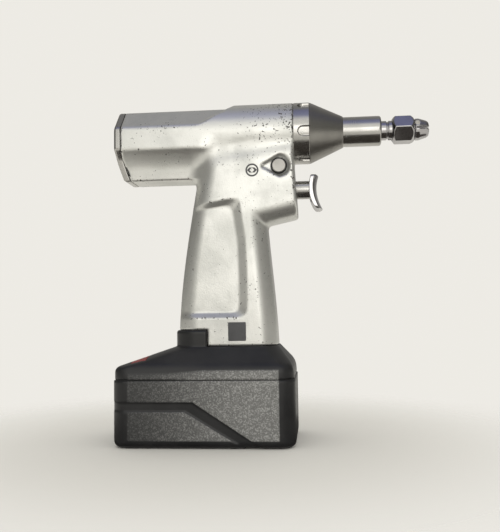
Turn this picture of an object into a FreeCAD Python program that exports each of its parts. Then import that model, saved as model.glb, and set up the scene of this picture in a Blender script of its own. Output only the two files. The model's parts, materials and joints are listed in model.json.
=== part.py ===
import FreeCAD, Part
import math
import os

# Battery-powered reciprocating bone saw with a pistol grip, standing on its battery.
# Millimetres. +X points to the blade end, +Y to the operator's left, +Z up.
# The origin is the centre of the flat underside of the battery.

V = FreeCAD.Vector

# Driving dimensions: battery
BATTERY_LENGTH = 108.0
BATTERY_WIDTH = 66.0
CASE_SEAM_Z = 39.6          # split line between the two case halves
CASE_SHOULDER_Z = 46.5      # where the upright walls end and the sloped top begins
GRIP_JOINT_Z = 58.3         # where the handle stands on the battery
CASE_WALL = 2.6
CASE_CORNER_R = 9.5
CASE_EDGE_R = 4.0
LOWER_CASE_PROUD = 0.6      # the lower half stands this much outside the upper one
SEAM_GASKET = 0.5

# Driving dimensions: handle
GRIP_HALF_WIDTH = 18.2
GRIP_REAR_R = 11.5
GRIP_FRONT_R = 9.5
# Height above the joint with the battery, rear edge and front edge of the handle
GRIP_STATIONS = (
    (0.0, -17.7, 43.3),
    (26.7, -16.3, 41.7),
    (51.7, -13.8, 39.4),
    (76.7, -9.7, 37.2),
    (100.0, -5.6, 36.0),
    (124.0, -1.5, 36.0),
)
RECESS_DEPTH = 2.4
RECESS_SLOPE = 4.6          # width of the sloping border of the side recess

# Driving dimensions: barrel
BARREL_ABOVE_JOINT = 131.2
BARREL_Z = GRIP_JOINT_Z + BARREL_ABOVE_JOINT
BARREL_R = 19.0
BARREL_FRONT_X = 54.0
BARREL_REAR_X = -51.2
STEP_REAR_X = -7.0          # the angular rear body blends into the round barrel from here
STEP_FRONT_X = 13.0         # to here
REAR_TOP = 16.2             # flat top of the rear body above the axis
REAR_TOP_HALF = 6.0
REAR_SIDE_HALF = BARREL_R
REAR_SIDE_TOP = 3.2
REAR_SIDE_LOW = -9.5
BLOCK_HALF = 13.0
BLOCK_TOP = -14.4
BLOCK_LOW = -26.3
BLOCK_LEAN = 4.4            # the lower block's rear face comes forward by this much
THROAT_R = 10.0
UNDERCUT = 2.4              # depth of the groove under the barrel
WEB_LEAN = 2.4              # the web's front face comes forward by this much below the nose ring

# Driving dimensions: rear cap
CAP_THICKNESS = 4.0
CAP_GASKET = 0.4
CAP_EDGE = 1.2

# Driving dimensions: bores in the housing
MOTOR_BORE_R = 14.2
NOSE_WALL = 4.0
NOSE_BORE_R = BARREL_R - NOSE_WALL
NOSE_BORE_DEPTH = 38.0
SLIP = 0.1                  # slip fit, on the radius, between parts that are assembled together
RUN = 0.05                  # running fit, on the radius
FACE_GAP = 0.3              # gap between pieces that pass each other

# Driving dimensions: screws
SCREW_R = 1.3
SCREW_HEAD_R = 2.3
SCREW_HEAD = 1.6
SCREW_LENGTH = 9.0

# Driving dimensions: nose
RING_LENGTH = 10.0
RING_POCKETS = 6
POCKET_WIDTH = 6.2
POCKET_DEPTH = 1.6
POCKET_LENGTH = 7.0
CONE_LENGTH = 20.0
TUBE_LENGTH = 23.5
TUBE_R = 9.2
TUBE_BORE_R = 7.6
TUBE_EDGE = 1.3

# Driving dimensions: saw shaft, collet and nut
STROKE = 3.2
SHAFT_R = 5.0
NECK_R = 5.95
NECK_LENGTH = 7.0
NUT_LENGTH = 13.4
NUT_FLATS = 15.6
TIP_LENGTH = 10.1
TIP_REAR_R = 6.65
TIP_FRONT_R = 4.7
BLADE_SLOT = 1.3
BLADE_SLOT_DEPTH = 9.0
CROSS_PIN_R = 1.5

# Driving dimensions: crank and gears
CRANK_X = 38.0
GEAR_MODULE = 0.9
GEAR_TEETH = 20
PINION_TEETH = 10
GEAR_FACE = 2.6             # length of a tooth
GEAR_ADDENDUM = 0.45
GEAR_DEDENDUM = 0.75
GEAR_BACKLASH = 0.42
AXLE_R = 2.5
ROLLER_R = 2.0
SLOT_SLACK = 0.4
YOKE_HALF = 2.1
YOKE_WALL = 2.0

# Driving dimensions: motor
MOTOR_REAR_X = -40.0
MOTOR_FRONT_X = 14.0
MOTOR_SHAFT_R = 2.0
STATOR_R = 7.6
ROTOR_R = 7.1
MOTOR_WALL = 1.4

# Driving dimensions: trigger and selector
TRIGGER_DROP = 35.7         # trigger axis below the barrel axis
TRIGGER_Z = BARREL_Z - TRIGGER_DROP
TRIGGER_TRAVEL = 5.0
STEM_R = 5.65
STEM_LENGTH = 31.0
STEM_FRONT_X = 65.5
BOSS_R = 17.0
BOSS_LENGTH = 28.0
BOSS_FLARE = 6.4            # the boss widens by this much towards the handle
FINGER_HALF_WIDTH = 10.0
FINGER_TOP = 8.2
FINGER_LOW = -12.8
SELECTOR_X = 46.0
SELECTOR_DROP = 23.0
SELECTOR_Z = BARREL_Z - SELECTOR_DROP
SELECTOR_R = 4.2
SELECTOR_SEAL_R = 4.9
SELECTOR_TRAVEL = 4.0
SEAL_LENGTH = 2.5
DETENT_R = 1.4
TEARDROP_R = 6.9
TEARDROP_TIP = 11.8         # from the selector to the centre of the narrow end
TEARDROP_TIP_R = 1.8
TEARDROP_DEPTH = 1.0

# Driving dimensions: inside the handle
CAVITY_HALF = 9.3
CAVITY_REAR_X = -4.0
CAVITY_FRONT_X = 32.0
BASE_PLATE = 2.5
BASE_REAR_X = GRIP_STATIONS[0][1] + 6.7
BASE_FRONT_X = GRIP_STATIONS[0][2] - 5.3
BASE_HALF = 13.5
BASE_CORNER_R = 5.0
TOWER_HEIGHT = 12.0
TOWER_HALF = 7.5
CONTACT_COUNT = 5
CONTACT_PITCH = 4.2

# Driving dimensions: battery latch
COLLAR_HEIGHT = 9.5
COLLAR_FRONT_X = 1.2
COLLAR_PROUD = 1.3
COLLAR_WALL = 2.6
LATCH_X = -28.0
LATCH_PIN_R = 1.2
LATCH_HALF = 11.0
PAD_REAR_X = 10.5 - BATTERY_LENGTH / 2
PAD_LENGTH = 9.1
PAD_FRONT_X = PAD_REAR_X + PAD_LENGTH
PAD_HALF = BATTERY_WIDTH / 2 - 7.0
PAD_SINK = 2.5              # how far the pad can go down in its well

# Driving dimensions: cells
CELL_R = 9.0
CELL_LENGTH = 50.0
CELL_COLUMNS = 4
CELL_ROWS = 2
CELL_GAP = 0.4

NOSE_X = BARREL_FRONT_X + RING_LENGTH
CONE_FRONT_X = NOSE_X + CONE_LENGTH
TUBE_FRONT_X = CONE_FRONT_X + TUBE_LENGTH
NUT_REAR_X = TUBE_FRONT_X + NECK_LENGTH
NUT_FRONT_X = NUT_REAR_X + NUT_LENGTH
TIP_X = NUT_FRONT_X + TIP_LENGTH
CRANK_THROW = STROKE / 2


# Shape helpers

def box(x0, x1, y0, y1, z0, z1):
    return Part.makeBox(x1 - x0, y1 - y0, z1 - z0, V(x0, y0, z0))


def slab(x0, x1, half, z0, z1):
    """A box that is symmetric about the middle plane."""
    return box(x0, x1, -half, half, z0, z1)


def rod_x(radius, x0, x1, z=None, y=0.0):
    z = BARREL_Z if z is None else z
    return Part.makeCylinder(radius, x1 - x0, V(x0, y, z), V(1, 0, 0))


def rod_y(radius, y0, y1, x, z):
    return Part.makeCylinder(radius, y1 - y0, V(x, y0, z), V(0, 1, 0))


def rod_z(radius, z0, z1, x, y=0.0):
    return Part.makeCylinder(radius, z1 - z0, V(x, y, z0), V(0, 0, 1))


def ring_x(outer, inner, x0, x1, z=None):
    return rod_x(outer, x0, x1, z).cut(rod_x(inner, x0 - 1, x1 + 1, z))


def rounded_wire(points, radii):
    """A closed wire through the points, each corner rounded by its own radius."""
    corners = [V(*p) for p in points]
    count = len(corners)
    spans = []
    for i, (corner, radius) in enumerate(zip(corners, radii)):
        back = corners[i - 1].sub(corner).normalize()
        ahead = corners[(i + 1) % count].sub(corner).normalize()
        if radius <= 0:
            spans.append((corner, None, corner))
            continue
        half = back.getAngle(ahead) / 2
        reach = radius / math.tan(half)
        middle = back.add(ahead).normalize().multiply(radius / math.sin(half) - radius)
        start = corner.add(V(back).multiply(reach))
        end = corner.add(V(ahead).multiply(reach))
        spans.append((start, corner.add(middle), end))
    edges = []
    for i, (start, middle, end) in enumerate(spans):
        if middle is not None:
            edges.append(Part.Arc(start, middle, end).toShape())
        following = spans[(i + 1) % count][0]
        if end.distanceToPoint(following) > 1e-6:
            edges.append(Part.LineSegment(end, following).toShape())
    return Part.Wire(edges)


def plan_wire(z, rear, front, half, rear_r, front_r):
    """A rounded rectangle at height z."""
    points = [(rear, -half, z), (front, -half, z), (front, half, z), (rear, half, z)]
    return rounded_wire(points, [rear_r, front_r, front_r, rear_r])


def side_wire(outline, y, radii):
    """A closed wire in an upright plane along the barrel, at the given y."""
    return rounded_wire([(x, y, z) for x, z in outline], radii)


def side_prism(outline, half, radii=None):
    """An outline seen from the side, made solid from -half to +half in y."""
    radii = radii or [0] * len(outline)
    return Part.Face(side_wire(outline, -half, radii)).extrude(V(0, 2 * half, 0))


def plan_prism(z0, z1, rear, front, half, rear_r, front_r):
    wire = plan_wire(z0, rear, front, half, rear_r, front_r)
    return Part.Face(wire).extrude(V(0, 0, z1 - z0))


def turned(points):
    """A solid turned about the barrel axis from (x, radius) points."""
    wire = Part.makePolygon([V(x, 0, BARREL_Z + r) for x, r in points + points[:1]])
    return Part.Face(wire).revolve(V(0, 0, BARREL_Z), V(1, 0, 0), 360)


def mirrored(shape):
    """The shape with its mirror image on the other side of the middle plane."""
    return [shape, shape.mirror(V(0, 0, 0), V(0, 1, 0))]


def join(shapes):
    """One solid made of shapes that touch."""
    fused = shapes[0].multiFuse(shapes[1:]).removeSplitter()
    return fused.Solids[0] if len(fused.Solids) == 1 else fused


def group(shapes):
    """Separate solids kept in one node."""
    return Part.makeCompound(shapes)


def between(value_a, value_b, share):
    return value_a + (value_b - value_a) * share


# Housing casting

def grip_edges(height):
    """Rear and front edge of the handle at a height above the joint."""
    for low, high in zip(GRIP_STATIONS, GRIP_STATIONS[1:]):
        if height <= high[0]:
            share = (height - low[0]) / (high[0] - low[0])
            return between(low[1], high[1], share), between(low[2], high[2], share)
    return GRIP_STATIONS[-1][1:]


def rear_outline(x, grow=0.0):
    """The angular section of the rear body as points in an upright cross plane."""
    right = [
        (REAR_TOP_HALF + grow * 0.4, REAR_TOP + grow),
        (REAR_SIDE_HALF + grow, REAR_SIDE_TOP + grow * 0.4),
        (REAR_SIDE_HALF + grow, REAR_SIDE_LOW - grow * 0.4),
        (BLOCK_HALF + grow, BLOCK_TOP),
    ]
    left = [(-y, z) for y, z in reversed(right)]
    return [V(x, y, BARREL_Z + z) for y, z in right + left]


def rear_body():
    """The angular rear body, its lower block and the blend to the round barrel."""
    outline = rear_outline(BARREL_REAR_X)
    face = Part.Face(Part.makePolygon(outline + outline[:1]))
    length = STEP_REAR_X - BARREL_REAR_X
    body = face.extrude(V(length, 0, 0))
    start = rear_outline(STEP_REAR_X)
    flat_wire = Part.makePolygon(start + start[:1])
    angles = [math.atan2(p.z - BARREL_Z, p.y) for p in start]
    arcs = []
    for i, angle in enumerate(angles):
        following = angles[(i + 1) % len(angles)]
        if following > angle:
            following -= 2 * math.pi
        trio = [angle, (angle + following) / 2, following]
        points = [V(STEP_FRONT_X, BARREL_R * math.cos(a), BARREL_Z + BARREL_R * math.sin(a)) for a in trio]
        arcs.append(Part.Arc(*points).toShape())
    blend = Part.makeLoft([flat_wire, Part.Wire(arcs)], True, True)
    return join([body, blend, lower_block(), rod_x(BARREL_R, STEP_FRONT_X, BARREL_FRONT_X)])


def lower_block():
    """The narrow block under the rear body, with the throat that runs into the handle."""
    low = BARREL_Z + BLOCK_LOW
    top = BARREL_Z + BLOCK_TOP
    outline = [
        (BARREL_REAR_X, top + 4), (12, top + 4), (12, low),
        (BARREL_REAR_X + BLOCK_LEAN, low), (BARREL_REAR_X, top),
    ]
    block = side_prism(outline, BLOCK_HALF)
    block = block.makeFillet(2.0, long_edges(block, low))
    throat_x = grip_edges(low - GRIP_JOINT_Z - THROAT_R)[0]
    fill = box(throat_x - THROAT_R, throat_x + 6, -BLOCK_HALF + 1, BLOCK_HALF - 1, low - THROAT_R, low + 3)
    fill = fill.cut(rod_y(THROAT_R, -BLOCK_HALF, BLOCK_HALF, throat_x - THROAT_R, low - THROAT_R))
    return join([block, fill])


def long_edges(shape, z):
    """Edges of the shape that run along the barrel at height z."""
    found = []
    for edge in shape.Edges:
        ends = [v.Point for v in edge.Vertexes]
        level = all(abs(p.z - z) < 0.01 for p in ends)
        if level and len(ends) == 2 and abs(ends[0].y - ends[1].y) < 0.01:
            found.append(edge)
    return found


def grip_body():
    wires = []
    for height, rear, front in GRIP_STATIONS:
        z = GRIP_JOINT_Z + height
        wires.append(plan_wire(z, rear, front, GRIP_HALF_WIDTH, GRIP_REAR_R, GRIP_FRONT_R))
    return Part.makeLoft(wires, True, False)


WEB_REAR_X = 12.0
WEB_LOW_Z = TRIGGER_Z - BOSS_R
CREASE_REAR = (-14.0, BARREL_Z - 23.2)
CREASE_FRONT = (BARREL_FRONT_X, BARREL_Z - 8.9)
CREASE_BAND_REAR = 5.2      # height of the groove at its rear end
CREASE_BAND_FRONT = 6.4     # and at its front end


def web_body():
    """The flat-sided web between barrel and handle, with the groove under the barrel."""
    pad_outline = [
        (WEB_REAR_X, WEB_LOW_Z), (BARREL_FRONT_X + WEB_LEAN, WEB_LOW_Z), (BARREL_FRONT_X, BARREL_Z - BARREL_R - 0.4),
        (BARREL_FRONT_X, CREASE_FRONT[1]), (WEB_REAR_X, BARREL_Z - 10),
    ]
    pad = join([side_prism(pad_outline, GRIP_HALF_WIDTH), grip_body()])
    above = [
        CREASE_REAR, CREASE_FRONT, (BARREL_FRONT_X + 20, CREASE_FRONT[1]),
        (BARREL_FRONT_X + 20, BARREL_Z + 30), (-60, BARREL_Z + 30), (-60, CREASE_REAR[1]),
    ]
    pad = pad.cut(side_prism(above, BATTERY_WIDTH))
    core = side_prism([
        (0.0, BARREL_Z - 40), (BARREL_FRONT_X, BARREL_Z - 40), (BARREL_FRONT_X, BARREL_Z), (0.0, BARREL_Z),
    ], GRIP_HALF_WIDTH - UNDERCUT)
    flank = side_prism([
        (0.0, CREASE_REAR[1] + CREASE_BAND_REAR + 4), (BARREL_FRONT_X, CREASE_FRONT[1] + CREASE_BAND_FRONT),
        (BARREL_FRONT_X, BARREL_Z), (0.0, BARREL_Z),
    ], GRIP_HALF_WIDTH - 0.6)
    return join([trimmed_boss(pad), core, flank])


def trimmed_boss(pad):
    """The pad with its lower front corner rounded about the trigger axis."""
    front_x = BARREL_FRONT_X + WEB_LEAN
    corner = box(GRIP_STATIONS[-1][2] - 6, front_x + 1, -30, 30, TRIGGER_Z - 40, TRIGGER_Z)
    boss_x = BARREL_FRONT_X - BOSS_LENGTH
    boss = Part.makeCone(BOSS_R + BOSS_FLARE, BOSS_R, front_x - boss_x, V(boss_x, 0, TRIGGER_Z), V(1, 0, 0))
    middle_x = between(BARREL_FRONT_X, front_x, (BARREL_Z - BARREL_R - TRIGGER_Z) / (BARREL_Z - BARREL_R - WEB_LOW_Z))
    keep = side_prism([
        (boss_x, WEB_LOW_Z - BOSS_FLARE - 1), (front_x, WEB_LOW_Z - BOSS_FLARE - 1), (front_x, WEB_LOW_Z),
        (middle_x, TRIGGER_Z), (middle_x - 0.1, TRIGGER_Z + 1), (boss_x, TRIGGER_Z + 1),
    ], GRIP_HALF_WIDTH)
    return join([pad.cut(corner), grip_body().common(corner), boss.common(keep)])


def recess_cutters():
    """The sloped shallow pocket in each flank of the handle."""
    low = GRIP_JOINT_Z + 17.0
    top = GRIP_JOINT_Z + 87.5
    surface = GRIP_HALF_WIDTH + 0.5
    floor = GRIP_HALF_WIDTH - RECESS_DEPTH
    grow = RECESS_SLOPE * 0.5 / RECESS_DEPTH
    slope = RECESS_SLOPE
    inner = [(-30, low + 3), (24.5 - slope, low + 3), (22.0 - slope, top - 4), (-30, top - 9)]
    outer = [(-30, low - grow), (25.0 + grow, low - grow), (21.5 + grow, top + grow), (-30, top - 5)]
    wires = [
        side_wire(outer, -surface, [0, 9, 9, 0]),
        side_wire(inner, -floor, [0, 6, 6, 0]),
    ]
    return mirrored(Part.makeLoft(wires, True, True))


def teardrop_cutters():
    """The drop-shaped shallow recess round the selector, one in each flank."""
    tip_x = SELECTOR_X - TEARDROP_TIP
    span = TEARDROP_TIP
    lean = math.asin((TEARDROP_R - TEARDROP_TIP_R) / span)
    cutters = []
    y0 = GRIP_HALF_WIDTH - TEARDROP_DEPTH
    big = rod_y(TEARDROP_R, y0, y0 + 4, SELECTOR_X, SELECTOR_Z)
    tip = rod_y(TEARDROP_TIP_R, y0, y0 + 4, tip_x, SELECTOR_Z)
    nx = -math.sin(lean)
    nz = math.cos(lean)
    outline = [
        (SELECTOR_X + nx * TEARDROP_R, SELECTOR_Z + nz * TEARDROP_R),
        (tip_x + nx * TEARDROP_TIP_R, SELECTOR_Z + nz * TEARDROP_TIP_R),
        (tip_x + nx * TEARDROP_TIP_R, SELECTOR_Z - nz * TEARDROP_TIP_R),
        (SELECTOR_X + nx * TEARDROP_R, SELECTOR_Z - nz * TEARDROP_R),
    ]
    wire = Part.makePolygon([V(x, y0, z) for x, z in outline + outline[:1]])
    middle = Part.Face(wire).extrude(V(0, 4, 0))
    return mirrored(join([big, tip, middle]))


MODULE_REAR_X = BARREL_REAR_X
MODULE_FRONT_X = -12.0
MODULE_HALF = 9.0
MODULE_LOW = BARREL_Z + BLOCK_LOW + 2.6
MODULE_TOP = BARREL_Z - MOTOR_BORE_R - 2.4
HARNESS_R = 2.2
HARNESS_X = 8.0
HARNESS_BEND = 7.0
HARNESS_Z = MODULE_LOW + 4.0
BLOCK_REAR_X = 2.0
BLOCK_FRONT_X = 28.0
TERMINAL_LOW = GRIP_JOINT_Z + TOWER_HEIGHT + 3.0
TERMINAL_TOP = TERMINAL_LOW + 10.0
CAVITY_TOP = TERMINAL_TOP + 12.0
TRIGGER_BORE_X = STEM_FRONT_X - STEM_LENGTH - 13.0
BUSH_R = STEM_R + 1.6
BUSH_REAR_X = 40.0


def harness_path(low):
    """Straight out of the control board, round one bend and straight down the handle."""
    start = V(MODULE_FRONT_X, 0, HARNESS_Z)
    turn = V(HARNESS_X - HARNESS_BEND, 0, HARNESS_Z)
    middle = V(HARNESS_X - HARNESS_BEND * (1 - math.sin(math.pi / 4)), 0,
               HARNESS_Z - HARNESS_BEND * (1 - math.cos(math.pi / 4)))
    down = V(HARNESS_X, 0, HARNESS_Z - HARNESS_BEND)
    end = V(HARNESS_X, 0, low)
    edges = [
        Part.LineSegment(start, turn).toShape(),
        Part.Arc(turn, middle, down).toShape(),
        Part.LineSegment(down, end).toShape(),
    ]
    return Part.Wire(edges)


def harness_tube(radius, low):
    profile = Part.Wire(Part.makeCircle(radius, V(MODULE_FRONT_X, 0, HARNESS_Z), V(1, 0, 0)))
    return harness_path(low).makePipeShell([profile], True, False)


def collar_zone(clearance):
    """The space behind and beside the handle's foot that the battery's collar fills."""
    rear, front = grip_edges(0)
    top = GRIP_JOINT_Z + COLLAR_HEIGHT + clearance
    inset = COLLAR_WALL - COLLAR_PROUD + clearance
    outer = slab(rear - 10, COLLAR_FRONT_X + clearance, GRIP_HALF_WIDTH + 10, GRIP_JOINT_Z - 1, top)
    inner = plan_prism(GRIP_JOINT_Z - 2, top + 1, rear + inset, front, GRIP_HALF_WIDTH - inset,
                       GRIP_REAR_R - inset, GRIP_FRONT_R)
    return outer.cut(inner)


def base_plate_body(clearance=0.0):
    return plan_prism(GRIP_JOINT_Z, GRIP_JOINT_Z + BASE_PLATE + clearance, BASE_REAR_X - clearance,
                      BASE_FRONT_X + clearance, BASE_HALF + clearance, BASE_CORNER_R, BASE_CORNER_R)


BASE_SCREW_Y = BASE_HALF - 4.5
BASE_SCREWS = [(x, y) for x in (BASE_REAR_X + 4.0, BASE_FRONT_X - 3.5) for y in (-BASE_SCREW_Y, BASE_SCREW_Y)]
CAP_SCREW_Y = BARREL_R - 4.8
CAP_SCREWS = [(y, z) for y in (-CAP_SCREW_Y, CAP_SCREW_Y) for z in (-6.0, 2.0)]


def housing():
    body = join([rear_body(), web_body()])
    cutters = recess_cutters() + teardrop_cutters()
    cutters.append(collar_zone(FACE_GAP))
    cutters.append(rod_x(MOTOR_BORE_R, BARREL_REAR_X - 1, BARREL_FRONT_X))
    cutters.append(rod_x(NOSE_BORE_R, BARREL_FRONT_X - NOSE_BORE_DEPTH, BARREL_FRONT_X + 1))
    cutters.append(slab(MODULE_REAR_X - 1, MODULE_FRONT_X, MODULE_HALF + SLIP, MODULE_LOW, MODULE_TOP))
    cutters.append(harness_tube(HARNESS_R + FACE_GAP, CAVITY_TOP - 1))
    cutters.append(slab(CAVITY_REAR_X, CAVITY_FRONT_X, CAVITY_HALF, GRIP_JOINT_Z - 1, TERMINAL_TOP))
    cutters.append(slab(HARNESS_X - 8, HARNESS_X + 8, CAVITY_HALF - 2, TERMINAL_TOP - 1, CAVITY_TOP))
    cutters.append(base_plate_body(SLIP))
    cutters.append(rod_x(STEM_R + 0.5, TRIGGER_BORE_X, BARREL_FRONT_X + 1, TRIGGER_Z))
    cutters.append(rod_x(BUSH_R + SLIP, BUSH_REAR_X, BARREL_FRONT_X + WEB_LEAN + 1, TRIGGER_Z))
    reach = GRIP_HALF_WIDTH + 2
    cutters.append(rod_y(SELECTOR_R + RUN, -reach, reach, SELECTOR_X, SELECTOR_Z))
    seal_y = GRIP_HALF_WIDTH - TEARDROP_DEPTH - SEAL_LENGTH
    cutters += mirrored(rod_y(SELECTOR_SEAL_R, seal_y, reach, SELECTOR_X, SELECTOR_Z))
    cutters.append(rod_z(DETENT_R + SLIP, SELECTOR_Z + SELECTOR_R, BARREL_Z - NOSE_BORE_R + 1, SELECTOR_X))
    for x, y in BASE_SCREWS:
        cutters.append(rod_z(SCREW_R, GRIP_JOINT_Z + 1, GRIP_JOINT_Z + SCREW_LENGTH, x, y))
    for y, z in CAP_SCREWS:
        cutters.append(rod_x(SCREW_R, BARREL_REAR_X - 1, BARREL_REAR_X + SCREW_LENGTH - CAP_THICKNESS,
                             BARREL_Z + z, y))
    return body.cut(cutters)


# Rear cap

def cap_solid(x0, x1, shrink=0.0):
    """A plate that follows the rear face: the angular upper part and the leaning lower part."""
    outline = rear_outline(x0, -shrink)
    upper = Part.Face(Part.makePolygon(outline + outline[:1])).extrude(V(x1 - x0, 0, 0))
    low = BARREL_Z + BLOCK_LOW + shrink
    top = BARREL_Z + BLOCK_TOP
    lean = BLOCK_LEAN * (top - low) / (BLOCK_TOP - BLOCK_LOW)
    lower = side_prism([(x0, top), (x1, top), (x1 + lean, low), (x0 + lean, low)], BLOCK_HALF - shrink)
    return join([upper, lower])


CAP_FRONT_X = BARREL_REAR_X - CAP_GASKET


def rear_cap():
    """The polished cap: a plate whose rear rim is rounded in two narrow bands."""
    rear_x = CAP_FRONT_X - CAP_THICKNESS
    plate = cap_solid(rear_x + CAP_EDGE, CAP_FRONT_X)
    bands = []
    steps = ((0.0, CAP_EDGE), (0.3 * CAP_EDGE, 0.3 * CAP_EDGE), (CAP_EDGE, 0.0))
    for (depth_a, shrink_a), (depth_b, shrink_b) in zip(steps, steps[1:]):
        wires = []
        for depth, shrink in ((depth_a, shrink_a), (depth_b, shrink_b)):
            points = rear_outline(rear_x + depth, -shrink)
            wires.append(Part.makePolygon(points + points[:1]))
        bands.append(Part.makeLoft(wires, True, True))
    low = BARREL_Z + BLOCK_LOW
    top = BARREL_Z + BLOCK_TOP
    lip = side_prism([
        (rear_x + 0.4, top), (rear_x + CAP_EDGE, top), (rear_x + CAP_EDGE + BLOCK_LEAN, low),
        (rear_x + 0.4 + BLOCK_LEAN, low),
    ], BLOCK_HALF - 0.4)
    plate = join([plate, lip] + bands)
    holes = [rod_x(SCREW_R, rear_x - 1, CAP_FRONT_X + 1, BARREL_Z + z, y) for y, z in CAP_SCREWS]
    sinks = [rod_x(SCREW_HEAD_R, rear_x - 1, rear_x + SCREW_HEAD, BARREL_Z + z, y) for y, z in CAP_SCREWS]
    return plate.cut(holes + sinks)


def rear_cap_gasket():
    sheet = cap_solid(CAP_FRONT_X, BARREL_REAR_X, 0.5)
    sheet = sheet.cut(rod_x(MOTOR_BORE_R - 2, CAP_FRONT_X - 1, BARREL_REAR_X + 1))
    holes = [rod_x(SCREW_R, CAP_FRONT_X - 1, BARREL_REAR_X + 1, BARREL_Z + z, y) for y, z in CAP_SCREWS]
    return sheet.cut(holes)


def screw(place, direction, length=SCREW_LENGTH):
    """A cap screw whose head starts at the place and whose shank runs along the direction."""
    head = Part.makeCylinder(SCREW_HEAD_R, SCREW_HEAD, place, direction)
    shank = Part.makeCylinder(SCREW_R, length, place, direction)
    socket = Part.makeCylinder(1.1, 0.9, place, direction)
    return head.fuse(shank).cut(socket)


def rear_cap_screws():
    rear_x = CAP_FRONT_X - CAP_THICKNESS
    return group([screw(V(rear_x, y, BARREL_Z + z), V(1, 0, 0)) for y, z in CAP_SCREWS])


# Nose

def nose_ring():
    ring = turned([
        (BARREL_FRONT_X, NOSE_BORE_R), (BARREL_FRONT_X, BARREL_R - 0.4), (BARREL_FRONT_X + 0.4, BARREL_R),
        (NOSE_X, BARREL_R), (NOSE_X, NOSE_BORE_R),
    ])
    x0 = NOSE_X - POCKET_LENGTH
    pocket = box(x0 + POCKET_WIDTH / 2, NOSE_X + 1, BARREL_R - POCKET_DEPTH, BARREL_R + 3,
                 -POCKET_WIDTH / 2, POCKET_WIDTH / 2)
    end = Part.makeCylinder(POCKET_WIDTH / 2, 6, V(x0 + POCKET_WIDTH / 2, BARREL_R - POCKET_DEPTH, 0), V(0, 1, 0))
    pocket = pocket.fuse(end)
    cutters = []
    for i in range(RING_POCKETS):
        copy = pocket.copy()
        copy.rotate(V(0, 0, 0), V(1, 0, 0), 360.0 / RING_POCKETS * i + 8.0)
        copy.translate(V(0, 0, BARREL_Z))
        cutters.append(copy)
    return ring.cut(cutters)


SPIGOT_R = NOSE_BORE_R - SLIP
FRAME_FRONT_X = 50.0
CONE_BORE_R = 10.5
REAR_BUSH_R = 7.6


def nose_cone():
    """The steel cone, with the spigot that the ring clamps into the barrel."""
    return turned([
        (FRAME_FRONT_X, CONE_BORE_R), (FRAME_FRONT_X, SPIGOT_R), (NOSE_X, SPIGOT_R),
        (NOSE_X, BARREL_R - 0.2), (CONE_FRONT_X, TUBE_R + 0.5), (CONE_FRONT_X, REAR_BUSH_R),
        (NOSE_X + 4, REAR_BUSH_R), (NOSE_X + 4, CONE_BORE_R),
    ])


def nose_tube():
    return turned([
        (CONE_FRONT_X, TUBE_BORE_R), (CONE_FRONT_X, TUBE_R), (TUBE_FRONT_X - TUBE_EDGE, TUBE_R),
        (TUBE_FRONT_X - TUBE_EDGE * 0.3, TUBE_R - TUBE_EDGE * 0.3), (TUBE_FRONT_X, TUBE_R - TUBE_EDGE),
        (TUBE_FRONT_X, TUBE_BORE_R),
    ])


def guide_bush_rear():
    return ring_x(REAR_BUSH_R, SHAFT_R + RUN, NOSE_X + 4, CONE_FRONT_X - 4)


def guide_bush_front():
    return ring_x(TUBE_BORE_R, NECK_R + RUN, TUBE_FRONT_X - 12, TUBE_FRONT_X - 3.5)


def shaft_seal():
    return ring_x(TUBE_BORE_R, NECK_R + RUN, TUBE_FRONT_X - 3.3, TUBE_FRONT_X - 0.6)


# Crank gear pair: straight bevel teeth whose cones meet where the two axes cross

GEAR_PITCH_R = GEAR_MODULE * GEAR_TEETH / 2
PINION_PITCH_R = GEAR_MODULE * PINION_TEETH / 2
CONE_DISTANCE = math.hypot(GEAR_PITCH_R, PINION_PITCH_R)
INNER_SHARE = 1 - GEAR_FACE / CONE_DISTANCE
BLANK_SHARE = 1.02          # the gear bodies reach a little past the ends of the teeth


def bevel_gear(teeth, pitch_r, axial, phase):
    """A bevel gear on +X with its apex at the origin, pitch circle at x = axial."""
    lean = math.atan2(pitch_r, axial)
    outward = V(-math.sin(lean), 0, math.cos(lean))
    pitch_point = V(axial, 0, pitch_r)
    half_tooth = math.pi * GEAR_MODULE / 4 - GEAR_BACKLASH / 2
    flank = math.tan(math.radians(22.0))
    low = -GEAR_DEDENDUM - 0.2

    def section(share):
        points = []
        for height, side in ((low, -1), (GEAR_ADDENDUM, -1), (GEAR_ADDENDUM, 1), (low, 1)):
            width = side * (half_tooth - height * flank)
            point = pitch_point.add(V(outward).multiply(height)).add(V(0, width, 0))
            points.append(point.multiply(share))
        return Part.makePolygon(points + points[:1])

    tooth = Part.makeLoft([section(1.0), section(INNER_SHARE)], True, True)
    root = pitch_point.add(V(outward).multiply(-GEAR_DEDENDUM)).multiply(BLANK_SHARE)
    deep = pitch_point.add(V(outward).multiply(-GEAR_DEDENDUM - 0.8)).multiply(BLANK_SHARE)
    inner_root = V(root).multiply(INNER_SHARE - 0.03)
    profile = [V(deep.x, 0, 0), deep, root, inner_root, V(inner_root.x, 0, 0)]
    blank = Part.Face(Part.makePolygon(profile + profile[:1])).revolve(V(0, 0, 0), V(1, 0, 0), 360)
    solids = [blank]
    for i in range(teeth):
        copy = tooth.copy()
        copy.rotate(V(0, 0, 0), V(1, 0, 0), 360.0 * (i + phase) / teeth)
        solids.append(copy)
    return join(solids)


def placed_gear():
    """The crank gear: its axis turned to +Y and its apex at the crank's centre."""
    gear = bevel_gear(GEAR_TEETH, GEAR_PITCH_R, PINION_PITCH_R, 0.5)
    gear.rotate(V(0, 0, 0), V(0, 0, 1), 90)
    gear.translate(V(CRANK_X, 0, BARREL_Z))
    return gear


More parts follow.
